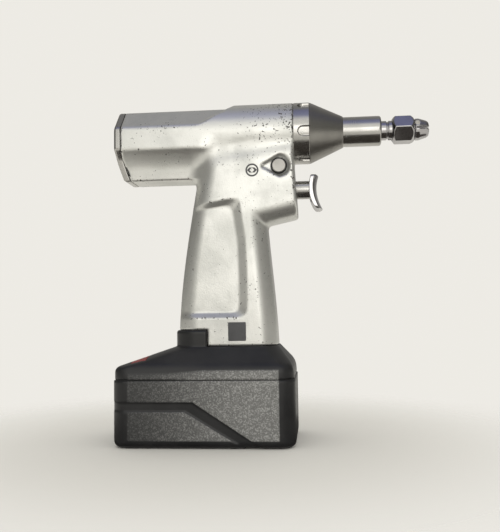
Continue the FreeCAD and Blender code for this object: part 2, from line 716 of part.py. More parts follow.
def placed_pinion():
    """The pinion: its axis turned to -X, so that it meets the gear behind the crank."""
    pinion = bevel_gear(PINION_TEETH, PINION_PITCH_R, GEAR_PITCH_R, 0.0)
    pinion.rotate(V(0, 0, 0), V(0, 0, 1), 180)
    pinion.rotate(V(0, 0, 0), V(1, 0, 0), 90)
    pinion.translate(V(CRANK_X, 0, BARREL_Z))
    return pinion


CRANK_PIN_Z = BARREL_Z + CRANK_THROW
GEAR_BACK_Y = 7.0
WEB_DISC_Y = YOKE_HALF + FACE_GAP
WEB_DISC_R = 5.9
AXLE_END_Y = 12.6
BEARING_Y = 8.0
BEARING_R = 4.5


def crank_gear():
    back = rod_y(GEAR_PITCH_R - 1.2, PINION_PITCH_R + 1.0, GEAR_BACK_Y, CRANK_X, BARREL_Z)
    hub = rod_y(3.6, WEB_DISC_Y, PINION_PITCH_R, CRANK_X, CRANK_PIN_Z - 0.8)
    axle = rod_y(AXLE_R, GEAR_BACK_Y - 1, AXLE_END_Y, CRANK_X, BARREL_Z)
    bore = rod_y(CRANK_PIN_R, 0, GEAR_BACK_Y + 8, CRANK_X, CRANK_PIN_Z)
    return join([placed_gear(), back, hub, axle]).cut(bore.common(box(0, 80, 0, GEAR_BACK_Y, 0, 300)))


CRANK_PIN_R = 1.1


def crank_disc():
    disc = rod_y(WEB_DISC_R, -GEAR_BACK_Y, -WEB_DISC_Y, CRANK_X, BARREL_Z)
    axle = rod_y(AXLE_R, -AXLE_END_Y, -GEAR_BACK_Y + 1, CRANK_X, BARREL_Z)
    bore = rod_y(CRANK_PIN_R, -GEAR_BACK_Y, 0, CRANK_X, CRANK_PIN_Z)
    return join([disc, axle]).cut(bore)


def crank_pin():
    return rod_y(CRANK_PIN_R, -GEAR_BACK_Y, GEAR_BACK_Y, CRANK_X, CRANK_PIN_Z)


def crank_roller():
    half = YOKE_HALF
    return rod_y(ROLLER_R, -half, half, CRANK_X, CRANK_PIN_Z).cut(
        rod_y(CRANK_PIN_R, -half - 1, half + 1, CRANK_X, CRANK_PIN_Z))


def crank_bearings():
    ring = rod_y(BEARING_R, BEARING_Y, AXLE_END_Y, CRANK_X, BARREL_Z)
    ring = ring.cut(rod_y(AXLE_R + RUN, 0, AXLE_END_Y + 1, CRANK_X, BARREL_Z))
    return group(mirrored(ring))


FRAME_REAR_X = BARREL_FRONT_X - NOSE_BORE_DEPTH
FRAME_BORE_R = 11.5
FRAME_WALL = 3.0


def drive_frame():
    """The round carrier in the barrel's mouth that holds the crank across the axis."""
    outer = rod_x(SPIGOT_R, FRAME_REAR_X, FRAME_FRONT_X)
    hollow = rod_x(FRAME_BORE_R, FRAME_REAR_X + FRAME_WALL, FRAME_FRONT_X + 1)
    cheeks = mirrored(rod_y(6.2, BEARING_Y - 0.4, SPIGOT_R, CRANK_X, BARREL_Z).common(outer))
    seats = rod_y(BEARING_R, BEARING_Y, AXLE_END_Y, CRANK_X, BARREL_Z)
    opening = rod_y(AXLE_R + 0.6, 0, AXLE_END_Y + 0.3, CRANK_X, BARREL_Z)
    frame = join([outer.cut(hollow)] + cheeks)
    frame = frame.cut(mirrored(seats) + mirrored(opening))
    return frame.cut(rod_x(6.5, FRAME_REAR_X - 1, FRAME_REAR_X + FRAME_WALL + 1))


# Motor

CAN_R = MOTOR_BORE_R - SLIP
MOTOR_CAP = 3.0
MOTOR_BEARING_R = 5.0
MOTOR_BEARING_LENGTH = 3.0


def motor_can():
    """The motor's tube with its closed rear end."""
    tube = ring_x(CAN_R, CAN_R - MOTOR_WALL, MOTOR_REAR_X, MOTOR_FRONT_X - MOTOR_CAP)
    end = ring_x(CAN_R - MOTOR_WALL, MOTOR_BEARING_R, MOTOR_REAR_X, MOTOR_REAR_X + MOTOR_CAP)
    return join([tube, end])


def motor_front_cap():
    plate = ring_x(CAN_R, MOTOR_BEARING_R, MOTOR_FRONT_X - MOTOR_CAP, MOTOR_FRONT_X)
    boss = ring_x(8.5, MOTOR_BEARING_R, MOTOR_FRONT_X, FRAME_REAR_X)
    return join([plate, boss])


def motor_bearings():
    rear = ring_x(MOTOR_BEARING_R, MOTOR_SHAFT_R + RUN, MOTOR_REAR_X, MOTOR_REAR_X + MOTOR_BEARING_LENGTH)
    front_x = MOTOR_FRONT_X
    front = ring_x(MOTOR_BEARING_R, MOTOR_SHAFT_R + RUN, front_x - MOTOR_BEARING_LENGTH, front_x)
    return group([rear, front])


STATOR_REAR_X = MOTOR_REAR_X + MOTOR_CAP + 5.0
STATOR_FRONT_X = MOTOR_FRONT_X - MOTOR_CAP - 4.0


def stator():
    core = ring_x(CAN_R - MOTOR_WALL, STATOR_R, STATOR_REAR_X, STATOR_FRONT_X)
    slots = []
    for i in range(6):
        slot = slab(STATOR_REAR_X - 1, STATOR_FRONT_X + 1, 1.0, STATOR_R - 1, CAN_R - MOTOR_WALL - 1.6)
        slot.rotate(V(0, 0, 0), V(1, 0, 0), 60.0 * i)
        slot.translate(V(0, 0, BARREL_Z))
        slots.append(slot)
    return core.cut(slots)


def motor_board():
    return ring_x(CAN_R - MOTOR_WALL, MOTOR_SHAFT_R + 3.2, MOTOR_REAR_X + MOTOR_CAP, MOTOR_REAR_X + MOTOR_CAP + 1.6)


PINION_BACK_X = CRANK_X - GEAR_PITCH_R


def rotor_shaft():
    return rod_x(MOTOR_SHAFT_R, MOTOR_REAR_X + 0.5, PINION_BACK_X + 1)


def rotor_magnet():
    return ring_x(ROTOR_R, MOTOR_SHAFT_R, STATOR_REAR_X + 1, STATOR_FRONT_X - 1)


def bevel_pinion():
    sleeve = rod_x(3.4, PINION_BACK_X - 5, PINION_BACK_X + 0.8)
    return join([placed_pinion(), sleeve]).cut(rod_x(MOTOR_SHAFT_R, PINION_BACK_X - 6, PINION_BACK_X + 1))


# Reciprocating shaft

YOKE_SLOT = ROLLER_R + SLOT_SLACK
YOKE_REACH = YOKE_SLOT + YOKE_WALL
YOKE_SLOT_TOP = CRANK_THROW + ROLLER_R + SLOT_SLACK
YOKE_NECK_X = CRANK_X + YOKE_REACH
TONGUE_HALF = 4.0
STUB_LENGTH = 4.0
SHAFT_REAR_X = CRANK_X + GEAR_PITCH_R + CRANK_THROW + 1.0


def yoke():
    """The slotted frame that turns the crank's circle into a straight stroke."""
    low = -ROLLER_R - SLOT_SLACK
    outer = slab(CRANK_X - YOKE_REACH, YOKE_NECK_X, YOKE_HALF, BARREL_Z + low - YOKE_WALL,
                 BARREL_Z + YOKE_SLOT_TOP + YOKE_WALL)
    slot = slab(CRANK_X - YOKE_SLOT, CRANK_X + YOKE_SLOT, YOKE_HALF + 1, BARREL_Z + low, BARREL_Z + YOKE_SLOT_TOP)
    tongue = slab(YOKE_NECK_X - 0.5, SHAFT_REAR_X, YOKE_HALF, BARREL_Z - TONGUE_HALF, BARREL_Z + TONGUE_HALF)
    stub = rod_x(YOKE_HALF, SHAFT_REAR_X - 0.5, SHAFT_REAR_X + STUB_LENGTH)
    return join([outer.cut(slot), tongue, stub])


def reciprocating_shaft():
    """From the yoke through both bushes to the neck behind the nut."""
    bore = rod_x(YOKE_HALF, SHAFT_REAR_X - 1, SHAFT_REAR_X + STUB_LENGTH)
    rear = rod_x(SHAFT_R, SHAFT_REAR_X, TUBE_FRONT_X - 16)
    front_x = TUBE_FRONT_X - 16
    neck = turned([
        (front_x, 0), (front_x, NECK_R), (TUBE_FRONT_X + 3.4, NECK_R), (TUBE_FRONT_X + 3.7, NECK_R - 0.6),
        (TUBE_FRONT_X + 4.5, NECK_R - 0.6), (TUBE_FRONT_X + 4.8, NECK_R), (NUT_REAR_X, NECK_R),
        (NUT_REAR_X, COLLET_R), (NUT_FRONT_X - 1, COLLET_R), (NUT_FRONT_X - 1, 0),
    ])
    return join([rear, neck]).cut([bore, rod_z(1.5, BARREL_Z - 10, BARREL_Z + 10, TUBE_FRONT_X + 5.6)])


COLLET_R = 4.6


def collet_tip():
    """The tapered tip with the flat slot that takes the blade's shank."""
    x0 = NUT_FRONT_X + FACE_GAP
    body = turned([
        (NUT_FRONT_X - 1, 0), (NUT_FRONT_X - 1, COLLET_R), (x0, COLLET_R), (x0, TIP_REAR_R - 0.5),
        (x0 + 0.8, TIP_REAR_R), (x0 + 3.6, TIP_REAR_R), (TIP_X - 1.6, TIP_FRONT_R + 0.5),
        (TIP_X - 0.4, TIP_FRONT_R - 0.4), (TIP_X, TIP_FRONT_R - 1.6), (TIP_X, 0),
    ])
    slot = slab(TIP_X - BLADE_SLOT_DEPTH, TIP_X + 1, TIP_REAR_R + 1, BARREL_Z - BLADE_SLOT / 2,
                BARREL_Z + BLADE_SLOT / 2)
    return body.cut([slot, rod_y(CROSS_PIN_R, -9, 9, CROSS_PIN_X, CROSS_PIN_Z)])


CROSS_PIN_X = NUT_FRONT_X + 3.0
CROSS_PIN_Z = BARREL_Z + BLADE_SLOT / 2 + CROSS_PIN_R + 0.9


def cross_pin():
    half = math.sqrt(TIP_REAR_R ** 2 - (CROSS_PIN_Z + CROSS_PIN_R - BARREL_Z) ** 2)
    return rod_y(CROSS_PIN_R, -half, half, CROSS_PIN_X, CROSS_PIN_Z)


def collet_nut():
    """The hexagonal nut that is turned to clamp the blade."""
    corner = NUT_FLATS / math.sqrt(3)
    points = []
    for i in range(6):
        angle = math.radians(60 * i + 10)
        points.append(V(NUT_REAR_X, corner * math.cos(angle), BARREL_Z + corner * math.sin(angle)))
    hexagon = Part.Face(Part.makePolygon(points + points[:1])).extrude(V(NUT_LENGTH, 0, 0))
    envelope = turned([
        (NUT_REAR_X, 0), (NUT_REAR_X, TIP_REAR_R), (NUT_REAR_X + 2.2, corner + 0.2),
        (NUT_FRONT_X - 2.4, corner + 0.2), (NUT_FRONT_X - 0.7, TIP_REAR_R + 1.0),
        (NUT_FRONT_X, TIP_REAR_R), (NUT_FRONT_X, 0),
    ])
    bore = rod_x(COLLET_R + RUN, NUT_REAR_X - 1, NUT_FRONT_X + 1)
    seat = rod_x(NECK_R + 0.2, NUT_REAR_X - 1, NUT_REAR_X + FACE_GAP)
    return hexagon.common(envelope).cut([bore, seat])


# Trigger

FINGER_SECTIONS = 5
FINGER_CURVE = 26.0         # radius of the plate's backward sweep across its width


def finger_outline(shift):
    """Side outline of the finger plate: hollow in front, toe leaning forward."""
    front = [
        (STEM_FRONT_X + 4.4, FINGER_TOP), (STEM_FRONT_X + 2.8, 2.0), (STEM_FRONT_X + 3.9, -6.0),
        (STEM_FRONT_X + 6.0, FINGER_LOW + 2.0),
    ]
    back = [
        (STEM_FRONT_X + 4.4, FINGER_LOW), (STEM_FRONT_X + 0.6, -6.0), (STEM_FRONT_X, 1.0),
        (STEM_FRONT_X + 1.4, FINGER_TOP),
    ]
    return [(x - shift, TRIGGER_Z + z) for x, z in front + back]


def trigger_plate():
    wires = []
    for i in range(FINGER_SECTIONS):
        y = between(-FINGER_HALF_WIDTH, FINGER_HALF_WIDTH, i / (FINGER_SECTIONS - 1))
        shift = y * y / (2 * FINGER_CURVE)
        radii = [1.0, 9.0, 12.0, 1.2, 1.2, 12.0, 14.0, 1.0]
        wires.append(side_wire(finger_outline(shift), y, radii))
    plate = Part.makeLoft(wires, True, False)
    return plate


def trigger_stem():
    """The round stem, its front end cut to the shape of the plate's back."""
    stem = rod_x(STEM_R, STEM_FRONT_X - STEM_LENGTH, STEM_FRONT_X + 3, TRIGGER_Z)
    pocket = rod_x(STEM_R - 2.2, STEM_FRONT_X - STEM_LENGTH - 1, STEM_FRONT_X - STEM_LENGTH + 6, TRIGGER_Z)
    stem = stem.cut(pocket).cut(trigger_plate())
    solids = sorted(stem.Solids, key=lambda s: s.Volume)
    return solids[-1]


def trigger_magnet():
    x0 = STEM_FRONT_X - STEM_LENGTH
    return rod_x(STEM_R - 2.2, x0 + 3, x0 + 6, TRIGGER_Z)


def trigger_bush():
    return ring_x(BUSH_R, STEM_R + RUN, BUSH_REAR_X, BARREL_FRONT_X - 3, TRIGGER_Z)


def trigger_seal():
    return ring_x(BUSH_R, STEM_R + RUN, BARREL_FRONT_X - 2.8, BARREL_FRONT_X - 0.4, TRIGGER_Z)


def coil_spring(x0, x1, mean_r, wire_r, turns, z):
    """A compression spring of square wire between x0 and x1."""
    pitch = (x1 - x0 - 2 * wire_r) / turns
    helix = Part.makeHelix(pitch, x1 - x0 - 2 * wire_r, mean_r)
    corners = [V(mean_r + a * wire_r, 0, b * wire_r) for a, b in ((-1, -1), (1, -1), (1, 1), (-1, 1))]
    section = Part.makePolygon(corners + corners[:1])
    coil = Part.Wire(helix.Edges).makePipeShell([section], True, True)
    coil.rotate(V(0, 0, 0), V(0, 1, 0), 90)
    coil.translate(V(x0 + wire_r, 0, z))
    return coil


def trigger_spring():
    return coil_spring(TRIGGER_BORE_X + 1.6, STEM_FRONT_X - STEM_LENGTH, STEM_R - 1.2, 0.45, 4, TRIGGER_Z)


def trigger_board():
    return rod_x(STEM_R + 0.4, TRIGGER_BORE_X, TRIGGER_BORE_X + 1.5, TRIGGER_Z)


# Mode selector

def selector_pin():
    half = GRIP_HALF_WIDTH - 0.2
    pin = rod_y(SELECTOR_R, -half, half - SELECTOR_TRAVEL, SELECTOR_X, SELECTOR_Z)
    rims = [e for e in pin.Edges if len(e.Vertexes) == 1]
    return pin.makeFillet(0.5, rims)


def selector_seals():
    y0 = GRIP_HALF_WIDTH - TEARDROP_DEPTH - SEAL_LENGTH
    seal = rod_y(SELECTOR_SEAL_R, y0, y0 + SEAL_LENGTH - 0.4, SELECTOR_X, SELECTOR_Z)
    bore = rod_y(SELECTOR_R + RUN, 0, 30, SELECTOR_X, SELECTOR_Z)
    return group(mirrored(seal.cut(bore)))


def selector_detent():
    low = SELECTOR_Z + SELECTOR_R + FACE_GAP + DETENT_R
    ball = Part.makeSphere(DETENT_R, V(SELECTOR_X, 0, low))
    plug = rod_z(DETENT_R, low, BARREL_Z - NOSE_BORE_R - 0.2, SELECTOR_X)
    return join([ball, plug])


# Control electronics and wiring

def control_board():
    return slab(MODULE_REAR_X + 3, MODULE_FRONT_X - 0.2, MODULE_HALF, MODULE_LOW + 2.4, MODULE_LOW + 4.0)


def heat_spreader():
    """The finned aluminium block under the power transistors."""
    block = slab(MODULE_REAR_X + 3 + BLOCK_LEAN, MODULE_FRONT_X - 4, MODULE_HALF, MODULE_LOW, MODULE_LOW + 2.4)
    slots = []
    for i in range(5):
        x = MODULE_REAR_X + 11 + i * 5.0
        slots.append(slab(x, x + 1.2, MODULE_HALF + 1, MODULE_LOW - 1, MODULE_LOW + 1.4))
    return block.cut(slots)


def power_transistors():
    chips = []
    for i in range(6):
        x = MODULE_REAR_X + 8 + (i % 3) * 9.0
        y = -6.5 + (i // 3) * 8.0
        chips.append(box(x, x + 6, y, y + 5, MODULE_LOW + 4.0, MODULE_LOW + 6.0))
    return group(chips)


def wiring_harness():
    tube = harness_tube(HARNESS_R, TERMINAL_TOP)
    return tube.cut(slab(MODULE_FRONT_X - 2, MODULE_FRONT_X, 5, HARNESS_Z - 5, HARNESS_Z + 5))


def contact_x(i):
    middle = (BLOCK_REAR_X + BLOCK_FRONT_X) / 2
    return middle + (i - (CONTACT_COUNT - 1) / 2) * CONTACT_PITCH


BLADE_HALF = 3.0
BLADE_THICK = 0.8


def terminal_block():
    block = slab(BLOCK_REAR_X, BLOCK_FRONT_X, CAVITY_HALF - SLIP, TERMINAL_LOW, TERMINAL_TOP)
    holes = []
    for i in range(CONTACT_COUNT):
        x = contact_x(i)
        holes.append(slab(x - BLADE_THICK / 2, x + BLADE_THICK / 2, BLADE_HALF, TERMINAL_LOW - 1, TERMINAL_LOW + 6))
    return block.cut(holes)


def terminal_blades():
    blades = []
    for i in range(CONTACT_COUNT):
        x = contact_x(i)
        low = GRIP_JOINT_Z + 5.0
        blades.append(slab(x - BLADE_THICK / 2, x + BLADE_THICK / 2, BLADE_HALF, low, TERMINAL_LOW + 6))
    return group(blades)


TOWER_REAR_X = BLOCK_REAR_X + 0.5
TOWER_FRONT_X = BLOCK_FRONT_X - 0.5


def base_plate():
    plate = base_plate_body()
    opening = slab(TOWER_REAR_X - 0.6, TOWER_FRONT_X + 0.6, TOWER_HALF + 0.6, GRIP_JOINT_Z - 1, GRIP_JOINT_Z + 9)
    holes = []
    for x, y in BASE_SCREWS:
        holes.append(rod_z(SCREW_R, GRIP_JOINT_Z - 1, GRIP_JOINT_Z + 9, x, y))
        holes.append(rod_z(SCREW_HEAD_R, GRIP_JOINT_Z - 1, GRIP_JOINT_Z + SCREW_HEAD, x, y))
    return plate.cut([opening] + holes)


def base_plate_screws():
    length = SCREW_LENGTH - FACE_GAP
    return group([screw(V(x, y, GRIP_JOINT_Z), V(0, 0, 1), length) for x, y in BASE_SCREWS])


# Battery

CASE_HALF_LENGTH = BATTERY_LENGTH / 2
CASE_HALF_WIDTH = BATTERY_WIDTH / 2
CASE_SCREW_X = CASE_HALF_LENGTH - 6.0
CASE_SCREW_Y = CASE_HALF_WIDTH - 6.5
CASE_SCREWS = [(x, y) for x in (-CASE_SCREW_X, CASE_SCREW_X) for y in (-CASE_SCREW_Y, CASE_SCREW_Y)]
DECK_REAR_X = GRIP_STATIONS[0][1] - COLLAR_PROUD
DECK_FRONT_X = GRIP_STATIONS[0][2] + 0.4
DECK_HALF = GRIP_HALF_WIDTH + COLLAR_PROUD
DECK_Z = GRIP_JOINT_Z - FACE_GAP


def case_plan(z, inset, corner=CASE_CORNER_R):
    half = CASE_HALF_LENGTH - inset
    return plan_wire(z, -half, half, CASE_HALF_WIDTH - inset, corner - inset * 0.5, corner - inset * 0.5)


def deck_plan(z, inset):
    return plan_wire(z, DECK_REAR_X + inset, DECK_FRONT_X - inset, DECK_HALF - inset, GRIP_REAR_R, GRIP_FRONT_R)


def upper_block(inset):
    """The upper half of the case as a block: upright walls, then the sloped top."""
    skin = LOWER_CASE_PROUD + inset
    walls = Part.Face(case_plan(CASE_SEAM_Z, skin)).extrude(V(0, 0, CASE_SHOULDER_Z - CASE_SEAM_Z))
    top = Part.makeLoft([case_plan(CASE_SHOULDER_Z, skin), deck_plan(DECK_Z - inset, inset)], True, True)
    return join([walls, top])


def case_upper():
    shell = upper_block(0).cut(upper_block(CASE_WALL))
    shell = shell.cut(slab(TOWER_REAR_X + 1.5, TOWER_FRONT_X - 1.5, TOWER_HALF - 1.5, CASE_SEAM_Z, DECK_Z + 20))
    tower = slab(TOWER_REAR_X, TOWER_FRONT_X, TOWER_HALF, DECK_Z - CASE_WALL, GRIP_JOINT_Z + TOWER_HEIGHT)
    tower = tower.cut(slab(TOWER_REAR_X + 1.5, TOWER_FRONT_X - 1.5, TOWER_HALF - 1.5, CASE_SEAM_Z,
                           GRIP_JOINT_Z + TOWER_HEIGHT - 1.5))
    slots = []
    for i in range(CONTACT_COUNT):
        x = contact_x(i)
        slots.append(slab(x - 0.9, x + 0.9, BLADE_HALF + 0.6, GRIP_JOINT_Z, GRIP_JOINT_Z + TOWER_HEIGHT + 1))
    shell = join([shell, tower, collar()])
    boss = box(LATCH_X - 2.6, LATCH_X + 2.6, LATCH_HALF + 0.5, LATCH_HALF + 3.0, CASE_SHOULDER_Z - 2, LATCH_Z + 2.6)
    shell = join([shell] + mirrored(boss.common(upper_block(0))))
    well = [
        (PAD_REAR_X - 0.5, slope_z(PAD_REAR_X) + 9), (PAD_REAR_X - 0.5, slope_z(PAD_REAR_X) - 4.6),
        (LATCH_X + 6.6, slope_z(PAD_REAR_X) - 4.6), (LATCH_X + 6.6, slope_z(LATCH_X) + 12),
    ]
    shell = shell.cut(slots)
    shell = shell.cut(side_prism(well, LATCH_HALF + 0.4))
    shell = shell.cut(pad_zone(0.5, PAD_SINK))
    floor = slab(PAD_REAR_X - 2, LATCH_X + 8, LATCH_HALF + 2.4, WELL_FLOOR_Z - 1.6, WELL_FLOOR_Z)
    wide_floor = slab(PAD_REAR_X - 2, PAD_FRONT_X + 2, PAD_HALF + 2.4, WELL_FLOOR_Z - 1.6, WELL_FLOOR_Z)
    shell = join([shell, floor, wide_floor.common(upper_block(0))])
    bolt = rod_y(LATCH_PIN_R + 0.02, -30, 30, LATCH_X, LATCH_Z)
    return shell.cut(bolt.common(slab(-60, 0, LATCH_HALF + 3.0, 0, 100)))


def collar():
    """The raised lip that stands round the rear of the handle's foot."""
    rear, front = grip_edges(0)
    outer = plan_prism(DECK_Z - 0.5, GRIP_JOINT_Z + COLLAR_HEIGHT, DECK_REAR_X, front, DECK_HALF,
                       GRIP_REAR_R + COLLAR_PROUD, GRIP_FRONT_R)
    inset = COLLAR_WALL - COLLAR_PROUD
    inner = plan_prism(DECK_Z - 2, GRIP_JOINT_Z + COLLAR_HEIGHT + 1, rear + inset, front + 5,
                       GRIP_HALF_WIDTH - inset, GRIP_REAR_R - inset, GRIP_FRONT_R)
    keep = slab(DECK_REAR_X - 5, COLLAR_FRONT_X, DECK_HALF + 5, DECK_Z - 3, GRIP_JOINT_Z + COLLAR_HEIGHT + 5)
    return outer.cut(inner).common(keep)


def slope_z(x):
    """Height of the sloped rear face of the upper case at x."""
    share = (x + CASE_HALF_LENGTH - LOWER_CASE_PROUD) / (DECK_REAR_X + CASE_HALF_LENGTH - LOWER_CASE_PROUD)
    return between(CASE_SHOULDER_Z, DECK_Z, share)


LATCH_Z = slope_z(LATCH_X) - 3.4
WELL_FLOOR_Z = slope_z(PAD_REAR_X) - 4.6
PAD_LOW_Z = WELL_FLOOR_Z + 2.6


def pad_zone(clearance, sink=0.0):
    """The wedge of the sloped rear top that the red release pad fills, or its well."""
    outline = [
        (PAD_REAR_X - clearance, PAD_LOW_Z - sink), (PAD_FRONT_X + clearance, PAD_LOW_Z - sink),
        (PAD_FRONT_X + clearance, slope_z(PAD_FRONT_X) + 9), (PAD_REAR_X - clearance, slope_z(PAD_REAR_X) + 9),
    ]
    return side_prism(outline, PAD_HALF + clearance)


def latch_pad():
    return upper_block(0).common(pad_zone(0))


def latch_lever():
    """The sprung lever that runs up the slope from the pad to the collar."""
    outline = [
        (PAD_FRONT_X, PAD_LOW_Z), (LATCH_X - 4, LATCH_Z - 2.0), (LATCH_X + 2.0, LATCH_Z - 2.4),
        (LATCH_X + 6.0, LATCH_Z + 1.0), (LATCH_X + 6.0, slope_z(LATCH_X + 6)),
        (PAD_FRONT_X, slope_z(PAD_FRONT_X)),
    ]
    lever = side_prism(outline, LATCH_HALF)
    return lever.cut(rod_y(LATCH_PIN_R + RUN, -30, 30, LATCH_X, LATCH_Z))


def latch_pin():
    return rod_y(LATCH_PIN_R, -LATCH_HALF - 3.0, LATCH_HALF + 3.0, LATCH_X, LATCH_Z)


def latch_spring():
    coil = coil_spring(0, PAD_LOW_Z - WELL_FLOOR_Z, 2.2, 0.25, 2, 0)
    coil.rotate(V(0, 0, 0), V(0, 1, 0), -90)
    coil.translate(V((PAD_REAR_X + PAD_FRONT_X) / 2, 0, WELL_FLOOR_Z))
    return coil


def case_lower():
    wire = case_plan(0, 0)
    block = Part.Face(wire).extrude(V(0, 0, CASE_SEAM_Z - SEAM_GASKET))
    bottom = [e for e in block.Edges if all(abs(v.Z) < 0.01 for v in e.Vertexes)]
    block = block.makeFillet(CASE_EDGE_R, bottom)
    hollow = Part.Face(case_plan(CASE_WALL, CASE_WALL)).extrude(V(0, 0, CASE_SEAM_Z))
    shell = block.cut(hollow)
    bosses = [rod_z(3.2, CASE_WALL - 0.5, CASE_SEAM_Z - SEAM_GASKET, x, y) for x, y in CASE_SCREWS]
    holes = [rod_z(SCREW_R, -1, CASE_SEAM_Z, x, y) for x, y in CASE_SCREWS]
    heads = [rod_z(SCREW_HEAD_R, -1, SCREW_HEAD + 0.4, x, y) for x, y in CASE_SCREWS]
    return join([shell] + bosses).cut(holes + heads)


def case_gasket():
    skin = LOWER_CASE_PROUD + 0.2
    low = CASE_SEAM_Z - SEAM_GASKET
    sheet = Part.Face(case_plan(low, skin)).extrude(V(0, 0, SEAM_GASKET))
    hollow = Part.Face(case_plan(low - 1, CASE_WALL)).extrude(V(0, 0, 3))
    return sheet.cut(hollow)


def case_screws():
    length = CASE_SEAM_Z - SEAM_GASKET - 0.6
    return group([screw(V(x, y, 0.4), V(0, 0, 1), length - 12) for x, y in CASE_SCREWS])


CELL_PITCH = 2 * CELL_R + CELL_GAP
CELL_REAR_X = -CASE_HALF_LENGTH + CASE_WALL + 8.2
CELL_LOW_Z = CASE_WALL + 1.0


def cell_places():
    places = []
    for row in range(CELL_ROWS):
        for column in range(CELL_COLUMNS):
            x = CELL_REAR_X + CELL_R + column * CELL_PITCH
            z = CELL_LOW_Z + CELL_R + row * CELL_PITCH
            places.append((x, z))
    return places


def cells():
    half = CELL_LENGTH / 2
    return group([rod_y(CELL_R, -half, half, x, z) for x, z in cell_places()])


HOLDER_THICK = 3.0


def cell_holders():
    """Two end plates that the cells plug into, standing on the floor of the case."""
    x0 = CELL_REAR_X - 0.8
    x1 = CELL_REAR_X + CELL_COLUMNS * CELL_PITCH + 0.4
    z1 = CELL_LOW_Z + CELL_ROWS * CELL_PITCH
    y0 = CELL_LENGTH / 2 - 2.0
    plate = box(x0, x1, y0, y0 + HOLDER_THICK, CASE_WALL, z1)
    pockets = [rod_y(CELL_R, y0 - 1, CELL_LENGTH / 2, x, z) for x, z in cell_places()]
    windows = [rod_y(CELL_R - 3, y0, y0 + 9, x, z) for x, z in cell_places()]
    return group(mirrored(plate.cut(pockets + windows)))


def cell_straps():
    """Nickel strips that join each column of cells at both ends."""
    straps = []
    y0 = CELL_LENGTH / 2
    for column in range(CELL_COLUMNS):
        x = CELL_REAR_X + CELL_R + column * CELL_PITCH
        low = CELL_LOW_Z + CELL_R - 3
        high = CELL_LOW_Z + CELL_R + CELL_PITCH + 3
        strip = box(x - 3, x + 3, y0 + HOLDER_THICK - 2.0, y0 + HOLDER_THICK - 1.6, low, high)
        feet = [rod_y(3.0, y0, y0 + HOLDER_THICK - 2.0, x, z) for z in (low + 3, high - 3)]
        straps.append(join([strip] + feet))
    return group([s for strap in straps for s in mirrored(strap)])


def battery_board():
    """The board that watches the cells, upright in the front of the case."""
    x0 = CELL_REAR_X + CELL_COLUMNS * CELL_PITCH + 4.0
    return slab(x0, x0 + 1.6, CASE_HALF_WIDTH - 9.0, CASE_WALL, CASE_SEAM_Z - 3)


def board_parts():
    x0 = CELL_REAR_X + CELL_COLUMNS * CELL_PITCH + 4.0 + 1.6
    parts = []
    for i in range(4):
        y = -19.0 + i * 10.5
        z = 12.0 + (i % 2) * 8.0
        parts.append(box(x0, x0 + 2.2, y, y + 6.0, z, z + 6.0))
    return group(parts)


def contact_sockets():
    """Pairs of spring leaves inside the tower, one pair for each blade."""
    carrier = slab(TOWER_REAR_X + 1.5, TOWER_FRONT_X - 1.5, TOWER_HALF - 1.5, GRIP_JOINT_Z + 0.2, GRIP_JOINT_Z + 2.2)
    leaves = []
    for i in range(CONTACT_COUNT):
        for side in (-1, 1):
            x = contact_x(i) + side * 1.0
            leaves.append(slab(x - 0.2, x + 0.2, BLADE_HALF, GRIP_JOINT_Z + 2.0, GRIP_JOINT_Z + TOWER_HEIGHT - 2.4))
    return join([carrier] + leaves)


NODES = {
    "housing": housing,
    "rear_cap": rear_cap,
    "rear_cap_gasket": rear_cap_gasket,
    "rear_cap_screws": rear_cap_screws,
    "nose_ring": nose_ring,
    "nose_cone": nose_cone,
    "nose_tube": nose_tube,
    "guide_bush_rear": guide_bush_rear,
    "guide_bush_front": guide_bush_front,
    "shaft_seal": shaft_seal,
    "drive_frame": drive_frame,
    "crank_bearings": crank_bearings,
    "crank_gear": crank_gear,
    "crank_disc": crank_disc,
    "crank_pin": crank_pin,
    "crank_roller": crank_roller,
    "motor_can": motor_can,
    "motor_front_cap": motor_front_cap,
    "motor_bearings": motor_bearings,
    "motor_board": motor_board,
    "stator": stator,
    "rotor_shaft": rotor_shaft,
    "rotor_magnet": rotor_magnet,
    "bevel_pinion": bevel_pinion,
    "yoke": yoke,
    "reciprocating_shaft": reciprocating_shaft,
    "collet_tip": collet_tip,
    "cross_pin": cross_pin,
    "collet_nut": collet_nut,
    "trigger_plate": trigger_plate,
    "trigger_stem": trigger_stem,
    "trigger_magnet": trigger_magnet,
    "trigger_bush": trigger_bush,
    "trigger_seal": trigger_seal,
    "trigger_spring": trigger_spring,
    "trigger_board": trigger_board,
    "selector_pin": selector_pin,
    "selector_seals": selector_seals,
    "selector_detent": selector_detent,
    "control_board": control_board,
    "heat_spreader": heat_spreader,
    "power_transistors": power_transistors,
    "wiring_harness": wiring_harness,
    "terminal_block": terminal_block,
    "terminal_blades": terminal_blades,
    "base_plate": base_plate,
    "base_plate_screws": base_plate_screws,
    "case_upper": case_upper,
    "case_lower": case_lower,
    "case_gasket": case_gasket,
    "case_screws": case_screws,
    "latch_lever": latch_lever,
    "latch_pad": latch_pad,
    "latch_pin": latch_pin,
    "latch_spring": latch_spring,
    "cells": cells,
    "cell_holders": cell_holders,
    "cell_straps": cell_straps,
    "battery_board": battery_board,
    "contact_sockets": contact_sockets,
}


def main():
    os.makedirs("parts", exist_ok=True)
    for name, make in NODES.items():
        shape = make()
        solids = shape.Solids
        print(f"{name}: {len(solids)} solid(s), {sum(s.Volume for s in solids) / 1000:.2f} cm3, valid {shape.isValid()}")
        shape.exportStep(os.path.join("parts", name + ".step"))


main()
